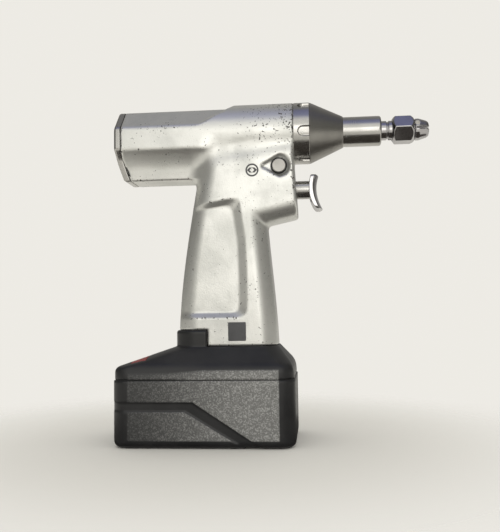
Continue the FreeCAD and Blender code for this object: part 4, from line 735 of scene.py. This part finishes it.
def bores(x, y, z):
    """The openings for trigger, selector, base plate, battery tower and saw shaft."""
    trigger = np.maximum(rod(y, z - TRIGGER_Z, TRIGGER_BORE_R), 40.0 - x)
    selector = rod(x - SELECTOR[0], z - SELECTOR[1], SELECTOR_BORE_R)
    plate = np.maximum(well(x, y, *PLATE_WELL), z - GRIP_Z - PLATE_ROOM)
    tower = np.maximum(well(x, y, *TOWER_WELL), z - TOWER_ROOM_TOP)
    shaft = np.maximum(rod(y, z - AXIS_Z, SHAFT_BORE_R), 42.0 - x)
    return np.minimum.reduce([trigger, selector, plate, tower, shaft])


WEB_JOIN = ([-5.0, 10.0, 30.0, 54.0], [7.0, 6.0, 4.5, 2.0])
COLLAR_ROOM = (1.5, 9.8, 1.6)


def housing_field(x, y, z):
    """All of the casting: barrel, block, handle and web joined softly, then cut. Above the crease
    line the handle's stock slopes inward under the barrel, gently at first, then steeply."""
    rise = z - AXIS_Z
    grip = handle(x, y, z)
    above = z - crease_line(x)
    inward = np.abs(y) - GRIP_HALF
    slope = np.maximum(0.45 * above + 0.893 * inward, 0.8 * (above - 3.0) + 0.6 * inward)
    stock = soft_min(soft_max(grip, slope, 2.6), lower_block(x, y, rise), 7.0)
    shape = soft_min(barrel(x, y, rise), stock, np.interp(x, *WEB_JOIN))
    dished = soft_max(shape, np.abs(y) - drop_half_width(x, z), 0.3)
    shape = np.where(drop_distance(x, z) < 4, dished, shape)
    shape = soft_max(shape, BARREL_X[0] + block_lean(rise) - x, 0.3)
    shape = soft_max(shape, GRIP_Z - z, 0.4)
    front, height, depth = COLLAR_ROOM
    collar = np.maximum(np.maximum(x - front, z - GRIP_Z - height), -(grip + depth))
    return np.maximum(np.maximum(shape, -collar), -bores(x, y, z))


# %% Housing: mesh


def field_normals(field, points):
    """Unit slope of a field at each point."""
    slope = gradient(field, points)
    return slope / np.maximum(np.linalg.norm(slope, axis=1), 1e-6)[:, None]


def make_housing(pitch):
    """The casting, with an attribute that is 1 on its outer edges, where the paint chips."""
    low, high = node_box("housing")
    points, faces = skin(housing_field, low, high, pitch)
    lift = convexity(points, faces, field_normals(housing_field, points), 0.05)
    return make_piece("housing_skin", points, faces, "handpiece", "painted_casting", ["housing"],
                      {"edge": np.clip(lift, 0, 1)})


make_housing(0.72)

# %% [markdown]
# The rear cap is a polished plate with the outline of the rear body and block. Its rim is
# rounded, and below it leans forward with the block. Four screws are sunk in its rear face.

# %% Rear cap
CAP_X = (-55.6, -51.6)
CAP_RIM = 1.5
CAP_SCREWS = [(y, rise) for y in (-14.2, 14.2) for rise in (-6.0, 2.0)]
HEAD_ROOM, HEAD_SINK, SCREW_ROOM = 2.35, 1.7, 1.36


def cap_field(x, y, z):
    """The outline in the cross plane, cut between two faces, the rear one rounded over."""
    rise = z - AXIS_Z
    outline = soft_min(angular_section(y, rise), np.maximum(block_section(y, rise), rise), 1.5)
    along = x - block_lean(rise)
    shape = round_cut(outline, CAP_X[0] - along, CAP_RIM)
    shape = soft_max(shape, along - CAP_X[1], 0.2)
    for place_y, place_rise in CAP_SCREWS:
        away = np.hypot(y - place_y, rise - place_rise)
        sink = np.minimum(np.maximum(away - HEAD_ROOM, x - CAP_X[0] - HEAD_SINK), away - SCREW_ROOM)
        shape = np.maximum(shape, -sink)
    return shape


def make_cap(pitch):
    """The cap; its grid reaches 2 mm further down, because its lower edge hangs below its node."""
    low, high = node_box("rear_cap")
    low[2] -= 2.0
    points, faces = skin(cap_field, low, high, pitch)
    return make_piece("rear_cap_skin", points, faces, "handpiece", "polished_steel", ["rear_cap"])


make_cap(0.4)

# %% [markdown]
# The nose is turned steel: a ring with six spanner pockets, a cone, a tube and the saw shaft
# with its nut. A turned piece is a surface of two parameters: the place along its profile and
# the angle round the axis. A pocket or a flat is a change of the radius with the angle.

# %% Turned pieces


def resample(profile, spacing):
    """Points every so many millimetres along a profile of (x, radius) corners, corners kept."""
    corners = np.array(profile, float)
    spans = []
    for start, end in zip(corners, corners[1:]):
        count = max(1, int(math.ceil(np.linalg.norm(end - start) / spacing)))
        share = np.arange(count)[:, None] / count
        spans.append(start + (end - start) * share)
    return np.concatenate(spans + [corners[-1:]])


def grid_faces(rows, columns):
    """Quads of a grid that is closed round both its rows and its columns."""
    row, column = np.arange(rows)[:, None], np.arange(columns)[None, :]
    ahead, aside = (row + 1) % rows, (column + 1) % columns
    quads = np.stack([row * columns + column, row * columns + aside, ahead * columns + aside,
                      ahead * columns + column], axis=-1)
    return quads.reshape(-1, 4)


def turned_surface(profile, change, segments, spacing, axis_z):
    """Point = (x, r sin a, z0 + r cos a) about a lengthwise axis, with r from a closed profile of x
    and radius, changed by a function of x, r and the angle a."""
    outline = resample(profile + profile[:1], spacing)[:-1]
    x, r = np.repeat(outline[:, :1], segments, 1), np.repeat(outline[:, 1:], segments, 1)
    turn = np.linspace(0, 2 * math.pi, segments, endpoint=False)
    angle = np.repeat(turn[None, :], len(outline), 0)
    r = change(x, r, angle) if change else r
    points = np.stack([x, r * np.sin(angle), axis_z + r * np.cos(angle)], axis=-1)
    return points.reshape(-1, 3), grid_faces(len(outline), segments)


def rounded(corner_a, corner_b, count=5):
    """An outer edge between two profile corners as a quarter of a circle or ellipse."""
    turn = np.linspace(0, math.pi / 2, count)
    (xa, ra), (xb, rb) = corner_a, corner_b
    return [(xa + (xb - xa) * math.sin(t), rb + (ra - rb) * math.cos(t)) for t in turn]


RING_X, CONE_X, TUBE_X = (54.8, 65.0), (65.0, 85.4), (85.4, 108.8)
NOSE_BORE_R, TUBE_R, TUBE_BORE_R = 15.0, 9.2, 7.6
POCKET_MIDDLE = math.radians(262.0)
POCKET_LENGTH, POCKET_HALF, POCKET_DEPTH = 6.1, 3.1, 1.6
CRISP_ANGLE = math.radians(35)


def pockets(x, r, angle):
    """Six shallow pockets open to the front: the radius drops by 1.6 mm where the place round the
    ring is within 3.1 mm of a pocket's middle line; the rear end of each is round."""
    turn = (angle - POCKET_MIDDLE + math.pi / 6) % (math.pi / 3) - math.pi / 6
    back = np.maximum(RING_X[0] + POCKET_LENGTH - x, 0)
    inside = np.hypot(turn * BARREL_R, back) - POCKET_HALF
    return np.where(r > BARREL_R - 2, r - POCKET_DEPTH * (1 - smooth_share(inside, -0.3, 0.1)), r)


def make_turned(name, profile, slot, replaces, body="handpiece", change=None, segments=240,
                spacing=0.5, axis_z=AXIS_Z):
    """One turned piece; edges sharper than 35 degrees stay crisp."""
    points, faces = turned_surface(profile, change, segments, spacing, axis_z)
    piece = make_piece(name, points, faces, body, slot, replaces)
    piece.data.set_sharp_from_angle(angle=CRISP_ANGLE)
    return piece


def make_nose():
    """Ring, cone and tube."""
    x0, x1 = RING_X
    profile = [(x0 + 0.05, NOSE_BORE_R), (x0 + 0.05, BARREL_R - 0.5), (x0 + 0.5, BARREL_R)]
    profile += [(x1 - 0.35, BARREL_R), (x1, BARREL_R - 0.35), (x1, NOSE_BORE_R)]
    make_turned("nose_ring_skin", profile, "polished_steel", ["nose_ring"], change=pockets, segments=540,
                spacing=0.33)
    x0, x1 = CONE_X
    profile = [(50.0, 10.5), (50.0, 14.8), (x0 - 0.1, 14.8), (x0 - 0.1, BARREL_R - 0.3)]
    profile += [(x0 + 0.15, BARREL_R - 0.15), (x1 - 0.6, TUBE_R + 0.75), (x1, TUBE_R + 0.4)]
    profile += [(x1, TUBE_BORE_R), (68.0, TUBE_BORE_R), (68.0, 10.5)]
    make_turned("nose_cone_skin", profile, "satin_steel", ["nose_cone"])
    x0, x1 = TUBE_X
    profile = [(x0 + 0.02, TUBE_BORE_R), (x0 + 0.02, TUBE_R)]
    profile += rounded((x1 - 1.3, TUBE_R), (x1, TUBE_R - 1.3)) + [(x1, TUBE_BORE_R)]
    make_turned("nose_tube_skin", profile, "polished_steel", ["nose_tube"])


make_nose()

# %% [markdown]
# The saw shaft slides in the nose. Its neck has a fine groove and a cross hole; the collet nut is
# a hexagon with turned ends; the tip is tapered and slotted for the blade's shank. Holes, flats
# and the slot cut across the turned form, so these three are fields.

# %% Saw shaft, collet nut and tip
SHAFT_STEPS = [(49.6, 4.6), (50.0, 5.0), (91.3, 5.0), (91.7, 5.95), (112.1, 5.95), (112.4, 5.25),
               (113.2, 5.25), (113.5, 5.95), (115.6, 5.95), (115.8, 4.6), (128.1, 4.6)]
NUT_STEPS = [(115.7, 6.65), (117.6, 9.2), (126.4, 9.2), (128.4, 7.65), (129.1, 6.65)]
TIP_STEPS = [(128.1, 4.6), (129.3, 4.6), (129.4, 6.15), (130.0, 6.65), (131.8, 6.65), (136.4, 5.2),
             (137.6, 4.3), (138.0, 3.1)]
NUT_FLATS, NUT_HALF, NUT_BORE_R = np.radians([28.0, 88.0, 148.0]), 7.8, 4.66
SLOT_HALF, SLOT_REAR, TIP_PIN, TIP_PIN_R = 0.65, 130.2, (130.9, 192.55), 1.5


def turned_field(x, y, rise, steps, corner=0.15):
    """A turned form: radius less the profile's radius at x, cut at both ends."""
    places, radii = np.array(steps).T
    shape = np.hypot(y, rise) - np.interp(x, places, radii)
    return soft_max(shape, np.maximum(places[0] - x, x - places[-1]), corner)


def shaft_field(x, y, z):
    """The stepped shaft, the cross hole in its neck and the bore in its rear end."""
    rise = z - AXIS_Z
    bore = np.maximum(rod(y, rise, 2.1), x - 53.6)
    return np.maximum(turned_field(x, y, rise, SHAFT_STEPS), -np.minimum(rod(x - 114.3, y, 1.1), bore))


def nut_field(x, y, z):
    """Six flats, one edge turned to the front, turned ends and the bore."""
    rise = z - AXIS_Z
    flats = [np.abs(y * math.cos(a) + rise * math.sin(a)) - NUT_HALF for a in NUT_FLATS]
    hexagon = soft_max(soft_max(flats[0], flats[1], 0.25), flats[2], 0.25)
    shape = soft_max(hexagon, turned_field(x, y, rise, NUT_STEPS), 0.2)
    return np.maximum(shape, -rod(y, rise, NUT_BORE_R))


def tip_field(x, y, z):
    """Tapered tip, the blade slot and the bore of the cross pin."""
    rise = z - AXIS_Z
    slot = soft_max(np.abs(rise) - SLOT_HALF, SLOT_REAR - x, 0.1)
    pin = rod(x - TIP_PIN[0], z - TIP_PIN[1], TIP_PIN_R)
    return np.maximum(turned_field(x, y, rise, TIP_STEPS, 0.3), -np.minimum(slot, pin))


SKIN_ROOM = 1.4


def make_field_piece(name, field, body, slot, pitch):
    """A skin over a node's box and a little more, standing for that node; the piece has the node's
    name with _skin behind."""
    low, high = node_box(name)
    points, faces = skin(field, low - SKIN_ROOM, high + SKIN_ROOM, pitch)
    return make_piece(name + "_skin", points, faces, body, slot, [name])


def make_saw():
    """Shaft and tip, which slide, and the nut, which turns on them."""
    fine = 0.3
    make_field_piece("reciprocating_shaft", shaft_field, "saw_shaft", "shaft_steel", fine)
    make_field_piece("collet_nut", nut_field, "nut", "shaft_steel", fine)
    make_field_piece("collet_tip", tip_field, "saw_shaft", "shaft_steel", fine)


make_saw()

# %% [markdown]
# The trigger: a chromed round stem, and a thin finger plate, hollow in front, whose toe leans
# forward and whose sides sweep back. The selector beside it is shown as the CAD has it.

# %% Trigger
PLATE_HEIGHTS = TRIGGER_Z + np.array([-12.8, -10.8, -6.0, 1.0, 8.2])
PLATE_BACK = np.polyfit(PLATE_HEIGHTS, [69.7, 68.3, 66.2, 65.6, 66.6], 3)
PLATE_FRONT = np.polyfit(PLATE_HEIGHTS, [72.2, 71.0, 69.4, 68.4, 69.8], 3)
PLATE_SWEEP, PLATE_HALF_HEIGHT, PLATE_HALF_WIDTH = 52.0, 10.5, 10.0
STEM_R, STEM_BORE_R = 5.65, 3.45


def plate_field(x, y, z):
    """Between a back and a front curve of the height, swept back by y squared over 52 mm; its
    outline from the front is a rounded rectangle."""
    swept = x + y * y / PLATE_SWEEP
    height = np.clip(z, PLATE_HEIGHTS[0], PLATE_HEIGHTS[-1])
    back, front = np.polyval(PLATE_BACK, height), np.polyval(PLATE_FRONT, height)
    thickness = np.abs(swept - (back + front) / 2) - (front - back) / 2
    outline = round_cut(np.abs(z - TRIGGER_Z + 2.3) - PLATE_HALF_HEIGHT, np.abs(y) - PLATE_HALF_WIDTH, 1.6)
    return round_cut(thickness, outline, 0.5)


def make_trigger():
    """Plate and stem, which slide together; the stem is bored from behind for its spring."""
    make_field_piece("trigger_plate", plate_field, "trigger", "shaft_steel", 0.35)
    profile = [(34.5, STEM_BORE_R), (34.5, STEM_R - 0.35), (34.9, STEM_R), (67.0, STEM_R), (67.0, 0.4)]
    profile += [(40.5, 0.4), (40.5, STEM_BORE_R)]
    make_turned("trigger_stem_skin", profile, "polished_steel", ["trigger_stem"], "trigger", axis_z=TRIGGER_Z)


make_trigger()

# %% [markdown]
# The battery is moulded in two halves. The lower one is a tray with rounded corners, a round
# bottom edge and a recessed band that runs along the flank and turns down to the bottom. The
# upper one has a rounded shoulder and slopes up to a deck. On the deck stand the tower with the
# contacts and the collar that embraces the handle's foot; the slope holds the release latch.

# %% Battery: sizes and lower case
SEAM_Z, SHOULDER_Z, DECK_Z = 39.6, 46.5, 58.0
CASE_HALF, CASE_CORNER, WALL = (54.0, 33.0), 9.5, 2.6
INNER_CORNER, BOTTOM_EDGE, BAND_DEPTH, BOSS_R = 8.2, 4.0, 0.5, 3.2
CASE_SCREWS = [(x, y) for x in (-48.0, 48.0) for y in (-26.5, 26.5)]


def rounded_plan(x, y, rear, front, half, rear_r, front_r):
    """Distance from a rounded rectangle in plan."""
    middle = (rear + front) / 2
    corner = np.where(x < middle, rear_r, front_r)
    across = np.abs(x - middle) - (front - rear) / 2 + corner
    deep = np.abs(y) - half + corner
    outside = np.hypot(np.maximum(across, 0), np.maximum(deep, 0))
    return outside + np.minimum(np.maximum(across, deep), 0) - corner


def band_inside(x, z):
    """How far inside the band a place on the flank is: below its upper edge and above its lower."""
    upper, lower = [np.minimum(level, start + slope * x) for level, start, slope in (BAND_UPPER, BAND_LOWER)]
    return np.minimum(upper - z, z - lower)


def lower_field(x, y, z):
    """The tray: rounded outside, band, hollow, and four screw bosses with sunk holes."""
    length, half = CASE_HALF
    outside = rounded_plan(x, y, -length, length, half, CASE_CORNER, CASE_CORNER)
    flank = smooth_share(np.abs(y), 24.0, 28.0)
    band = BAND_DEPTH * smooth_share(band_inside(x, z), -0.1, 0.8) * flank
    shape = round_cut(outside, -z, BOTTOM_EDGE) + band
    hollow = rounded_plan(x, y, -length + WALL, length - WALL, half - WALL, INNER_CORNER, INNER_CORNER)
    shape = np.maximum(shape, -np.maximum(hollow, WALL - z))
    for place_x, place_y in CASE_SCREWS:
        away = np.hypot(x - place_x, y - place_y)
        shape = np.minimum(shape, np.maximum(away - BOSS_R, WALL - 0.5 - z))
        shape = np.maximum(shape, -np.minimum(away - SCREW_ROOM, np.maximum(away - 2.36, z - 2.0)))
    return soft_max(shape, z - SEAM_Z + 0.5, 0.25)


make_field_piece("case_lower", lower_field, "battery", "case_black", 0.9)

# %% Battery: upper case, pad and lever
COLLAR_TOP, COLLAR_FRONT, COLLAR_FOOT = 67.8, 1.2, 57.0
COLLAR_OUTER, COLLAR_INNER = (-19.0, 43.3, 19.5, 12.8, 9.5), (-16.4, 48.3, 16.9, 10.2, 9.5)
LATCH_AXIS = (-28.0, 51.59)
PAD_X, PAD_REACH, PAD_HALF, PAD_LOW = (-43.5, -34.4), 4.55, 26.0, 47.81
LEVER_PLAN, LEVER_WELL, WELL_FLOOR = (-28.2, 6.2, 11.0), (-32.7, 11.3, 11.4), 45.21
SHOULDER_SOFT = 3.2
UPPER_HALF, UPPER_CORNER = (53.4, 32.4), 9.2
TOWER_X, TOWER_TOP, TOWER_HALF, TOWER_ROOM = 15.0, 70.3, (12.5, 7.5), (11.0, 6.0)
CONTACT_PITCH, CONTACT_HALF = 4.2, 0.9
PAD_GROOVE, GROOVE_PITCH = 0.35, 2.6


def upper_outside(x, y, z):
    """Upright walls and a loft from the shoulder to the deck, rounded where they meet."""
    length, half = UPPER_HALF
    corner = UPPER_CORNER
    walls = rounded_plan(x, y, -length, length, half, corner, corner)
    t = np.clip((z - SHOULDER_Z) / (DECK_Z - SHOULDER_Z), -1.0, 1.0)
    loft = rounded_plan(x, y, -length + 34.4 * t, length - 9.7 * t, half - 12.9 * t, corner + 2.3 * t,
                        corner + 0.3 * t)
    steep = np.interp(x, [-50.0, -20.0, 0.0], [3.0, 3.0, 1.5])
    return soft_max(soft_max(walls, loft / steep, SHOULDER_SOFT), z - DECK_Z, 0.3)


# %% Battery: collar and contact tower


def collar_field(x, y, z):
    """The lip behind the handle's foot: between two rounded outlines, cut in front, its top rounded."""
    shape = round_cut(rounded_plan(x, y, *COLLAR_OUTER), z - COLLAR_TOP, 1.6)
    shape = round_cut(shape, x - COLLAR_FRONT, 0.8)
    return np.maximum(np.maximum(shape, -rounded_plan(x, y, *COLLAR_INNER)), COLLAR_FOOT - z)


def tower_field(x, y, z):
    """The contact tower, hollow, with five slots in its top."""
    along = x - TOWER_X
    shape = round_cut(np.abs(along) - TOWER_HALF[0], np.abs(y) - TOWER_HALF[1], 0.8)
    shape = round_cut(shape, z - TOWER_TOP, 0.6)
    hollow = np.maximum(bar(along, y, *TOWER_ROOM), z - TOWER_TOP + 1.5)
    from_slot = (along + CONTACT_PITCH / 2) % CONTACT_PITCH - CONTACT_PITCH / 2
    slots = np.maximum(bar(from_slot, y, CONTACT_HALF, 3.6), np.maximum(np.abs(along) - 10.0, GRIP_Z - z))
    return np.maximum(np.maximum(shape, -np.minimum(hollow, slots)), 55.0 - z)


# %% Battery: upper case


def latch_wells(x, y, z):
    """Room for the release pad across the slope and for the lever behind the collar."""
    pad = well(x, y, sum(PAD_X) / 2, PAD_REACH + 0.5, PAD_HALF + 0.5)
    return np.maximum(np.minimum(pad, well(x, y, *LEVER_WELL)), WELL_FLOOR - z)


def upper_case_field(x, y, z):
    """Outside less the hollow, plus collar and tower, less the wells."""
    wells = latch_wells(x, y, z)
    hollow = np.maximum(upper_outside(x, y, z + WALL) + WALL, 1.8 - wells)
    shape = np.maximum(upper_outside(x, y, z), -hollow)
    shape = np.maximum(shape, -well(x, y, TOWER_X, *TOWER_ROOM))
    shape = np.minimum(np.minimum(shape, tower_field(x, y, z)), collar_field(x, y, z))
    shape = soft_max(shape, -wells, 0.3)
    pin = np.maximum(rod(x - LATCH_AXIS[0], z - LATCH_AXIS[1], 1.24), np.abs(y) - 14.0)
    return np.maximum(np.maximum(shape, -pin), SEAM_Z - z)


# %% Battery: pad and lever


def pad_field(x, y, z):
    """The release pad: the slope's own surface with broken edges and three shallow finger grooves."""
    wave = 0.5 - 0.5 * np.cos((x - PAD_X[0]) * 2 * math.pi / GROOVE_PITCH)
    groove = PAD_GROOVE * wave * smooth_share(x, -42.5, -41.5)
    top = upper_outside(x, y, z) + groove * smooth_share(z, PAD_LOW, PAD_LOW + 1.0)
    sides = well(x, y, sum(PAD_X) / 2, PAD_REACH, PAD_HALF)
    return soft_max(soft_max(top, sides, 0.5), PAD_LOW - z, 0.3)


def lever_field(x, y, z):
    """The lever: the slope's surface above, a bellied underside and the bore of its pin."""
    under = np.interp(x, [-34.4, -32.0, -26.0, -22.0], [47.81, 49.59, 49.19, 52.59])
    shape = soft_max(upper_outside(x, y, z), well(x, y, *LEVER_PLAN), 0.5)
    bore = rod(x - LATCH_AXIS[0], z - LATCH_AXIS[1], 1.25)
    return np.maximum(np.maximum(shape, under - z), -bore)


def make_battery_top():
    """The upper case on the battery, and pad and lever, which turn together on the latch's pin."""
    fine = 0.4
    make_field_piece("case_upper", upper_case_field, "battery", "case_black", 0.7)
    make_field_piece("latch_pad", pad_field, "latch", "release_red", fine)
    make_field_piece("latch_lever", lever_field, "latch", "case_black", fine)


make_battery_top()

# %% [markdown]
# Two plain marks: a ring with two chevrons on the web beside the selector, which says that the
# selector has two ways, and a small dark plate near the foot of the handle. A printed mark could
# be a patch of colour in the paint. Both are thin raised pieces instead, so that they stay sharp
# and stay with the model wherever it goes.

# %% Marks
FLANK_Y = -18.2
RING_MARK = (29.8, 164.0)
PLATE_MARK = (14.0, 24.8, 61.2, 72.5)
PROUD = 0.15


def chevron(x, z, tip_x, way):
    """Two arms that meet at a tip; way is 1 where the tip points forward."""
    along = way * (tip_x - x)
    return np.maximum(np.abs(along - np.abs(z)) - 0.8, np.maximum(np.abs(z) - 1.55, along - 2.2))


def ring_mark_field(x, y, z):
    """A ring of 3.5 mm radius and two chevrons, slightly proud of the flank and sunk in it."""
    across, up = x - RING_MARK[0], z - RING_MARK[1]
    ring = np.abs(np.hypot(across, up) - 3.5) - 0.48
    arrows = np.minimum(chevron(across, up, 2.3, 1.0), chevron(across, up, -2.3, -1.0))
    return np.maximum(np.minimum(ring, arrows), np.abs(y - FLANK_Y) - PROUD)


def plate_mark_field(x, y, z):
    """A rounded plate, slightly proud of the flank."""
    x0, x1, z0, z1 = PLATE_MARK
    length = np.abs(x - (x0 + x1) / 2) - (x1 - x0) / 2
    height = np.abs(z - (z0 + z1) / 2) - (z1 - z0) / 2
    return round_cut(round_cut(length, height, 0.8), np.abs(y - FLANK_Y) - PROUD, 0.1)


def make_mark(name, field, x0, x1, z0, z1, pitch):
    """One mark, worked out in a flat box about the flank."""
    points, faces = skin(field, (x0, FLANK_Y - 0.4, z0), (x1, FLANK_Y + 0.4, z1), pitch)
    make_piece(name, points, faces, "handpiece", "mark_dark")


def make_marks():
    """Ring and plate."""
    cx, cz = RING_MARK
    make_mark("direction_mark", ring_mark_field, cx - 4.5, cx + 4.5, cz - 4.5, cz + 4.5, 0.15)
    x0, x1, z0, z1 = PLATE_MARK
    make_mark("foot_plate", plate_mark_field, x0 - 0.5, x1 + 0.5, z0 - 0.5, z1 + 0.5, 0.2)


make_marks()

# %% [markdown]
# The stage is a pale floor under an even pale world, so that nothing but the shadow shows round
# the saw. Polished steel shows what surrounds it, and in the photograph it shows a room: bright
# in front and above, a blue-violet band overhead, dark behind. The world therefore has those
# bands of colour for reflections, one even colour for soft light, and one plain pale colour for
# the eye. A single wide lamp in front adds the bright patch on the flat flanks.

# %% Stage and light
FLOOR_COLOUR = (0.86, 0.845, 0.80)
SKY_COLOUR = (0.85, 0.83, 0.78)
ROOM_BANDS = [(-180, (0.24, 0.23, 0.215)), (-12, (0.22, 0.205, 0.18)), (0, (0.34, 0.32, 0.275)),
              (7, (0.64, 0.62, 0.56)), (13, (1.0, 0.99, 0.93)), (42, (0.95, 0.94, 0.90)),
              (58, (0.30, 0.32, 0.48)), (84, (0.21, 0.22, 0.36)), (92, (0.26, 0.26, 0.26)),
              (114, (0.24, 0.235, 0.23)), (122, (0.36, 0.35, 0.33)), (180, (0.34, 0.33, 0.31))]
SIDE_COLOUR = (0.12, 0.117, 0.105)
EVEN_COLOUR = (0.80, 0.79, 0.76)


def flat_sheet(name, x0, x1, y0, y1, z):
    """A level rectangle, in metres."""
    mesh = bpy.data.meshes.new(name)
    mesh.from_pydata([(x0, y0, z), (x1, y0, z), (x1, y1, z), (x0, y1, z)], [], [(0, 1, 2, 3)])
    sheet = bpy.data.objects.new(name, mesh)
    bpy.context.scene.collection.objects.link(sheet)
    return sheet


def make_floor():
    """A large floor. For the camera it fades into the world away from the saw, and it can't be
    seen from below."""
    floor = flat_sheet("floor", -6.0, 6.0, -6.0, 6.0, 0.0)
    material, tree, shader = finish_tree("floor")
    weave = use(tree, GRAIN, Scale=900.0)["Height"]
    set_sockets(tree, shader, Base_Color=FLOOR_COLOUR, Roughness=0.9, Specular_IOR_Level=0.1,
                Normal=bump(tree, weave, 0.15, 0.0002))
    away = add(tree, "ShaderNodeVectorMath", {"operation": "LENGTH"}, i0=place(tree)).outputs["Value"]
    seen = add(tree, "ShaderNodeLightPath").outputs["Is Camera Ray"]
    behind = add(tree, "ShaderNodeNewGeometry").outputs["Backfacing"]
    faded = maths(tree, "MULTIPLY", step_up(tree, away, 0.09, 0.26), seen)
    clear = add(tree, "ShaderNodeBsdfTransparent").outputs[0]
    hidden = maths(tree, "MAXIMUM", faded, behind)
    mixed = add(tree, "ShaderNodeMixShader", None, Fac=hidden, i1=shader.outputs[0], i2=clear)
    output = next(n for n in tree.nodes if n.type == "OUTPUT_MATERIAL")
    tree.links.new(mixed.outputs[0], output.inputs["Surface"])
    floor.data.materials.append(material)


def make_card():
    """A dark card on the floor that only reflections see; it darkens the undersides of the steel."""
    card = flat_sheet("dark_card", -0.12, 0.28, -0.25, 0.08, 0.0015)
    material, tree, shader = finish_tree("dark_card")
    tone = tint(tree, use(tree, SMUDGES, Scale=20.0)["Share"], (0.045, 0.038, 0.032), (0.07, 0.06, 0.05))
    set_sockets(tree, shader, Base_Color=tone, Roughness=0.9)
    card.data.materials.append(material)
    card.visible_camera = False
    card.visible_diffuse = False
    card.visible_shadow = False
    card.visible_transmission = False


# %% Lamp and world


def make_lamp(name, place_m, target_m, size, power, colour):
    """A square area lamp that looks at a target."""
    data = bpy.data.lights.new(name, "AREA")
    data.size = size
    data.energy = power
    data.color = colour
    lamp = bpy.data.objects.new(name, data)
    lamp.location = place_m
    direction = np.array(target_m) - np.array(place_m)
    lamp.rotation_euler = Vector(direction).to_track_quat("-Z", "Y").to_euler()
    bpy.context.scene.collection.objects.link(lamp)


def make_world():
    """Bands of colour round the long axis for light and reflections; one pale colour for the eye."""
    world = bpy.data.worlds.new("world")
    bpy.context.scene.world = world
    world.use_nodes = True
    tree = world.node_tree
    back = next(n for n in tree.nodes if n.type == "BACKGROUND")
    parts = split(tree, add(tree, "ShaderNodeTexCoord").outputs["Generated"])
    angle = maths(tree, "ARCTAN2", parts["Z"], maths(tree, "MULTIPLY", parts["Y"], -1.0))
    share = maths(tree, "MULTIPLY_ADD", angle, 0.5 / math.pi, 0.5)
    ramp = add(tree, "ShaderNodeValToRGB", None, Fac=share)
    stops = ramp.color_ramp.elements
    for index, (degrees, colour) in enumerate(ROOM_BANDS):
        stop = stops[index] if index < 2 else stops.new(1.0)
        stop.position = (degrees + 180.0) / 360.0
        stop.color = (*colour, 1.0)
    aside = step_up(tree, maths(tree, "ABSOLUTE", parts["X"]), 0.25, 0.75)
    rays = add(tree, "ShaderNodeLightPath").outputs
    bands = tint(tree, aside, ramp.outputs["Color"], SIDE_COLOUR)
    room = tint(tree, rays["Is Glossy Ray"], EVEN_COLOUR, bands)
    colour = tint(tree, rays["Is Camera Ray"], room, SKY_COLOUR)
    tree.links.new(colour, back.inputs["Color"])


make_floor()
make_card()
make_world()
SAW_MIDDLE = (0.03, 0.0, 0.12)
KEY_PLACE, KEY_SIZE, KEY_POWER, KEY_COLOUR = (0.07, -1.10, 0.29), 0.5, 1.15, (1.0, 0.98, 0.94)
make_lamp("key", KEY_PLACE, SAW_MIDDLE, KEY_SIZE, KEY_POWER, KEY_COLOUR)

# %% Colour view
bpy.context.scene.view_settings.view_transform = "Standard"
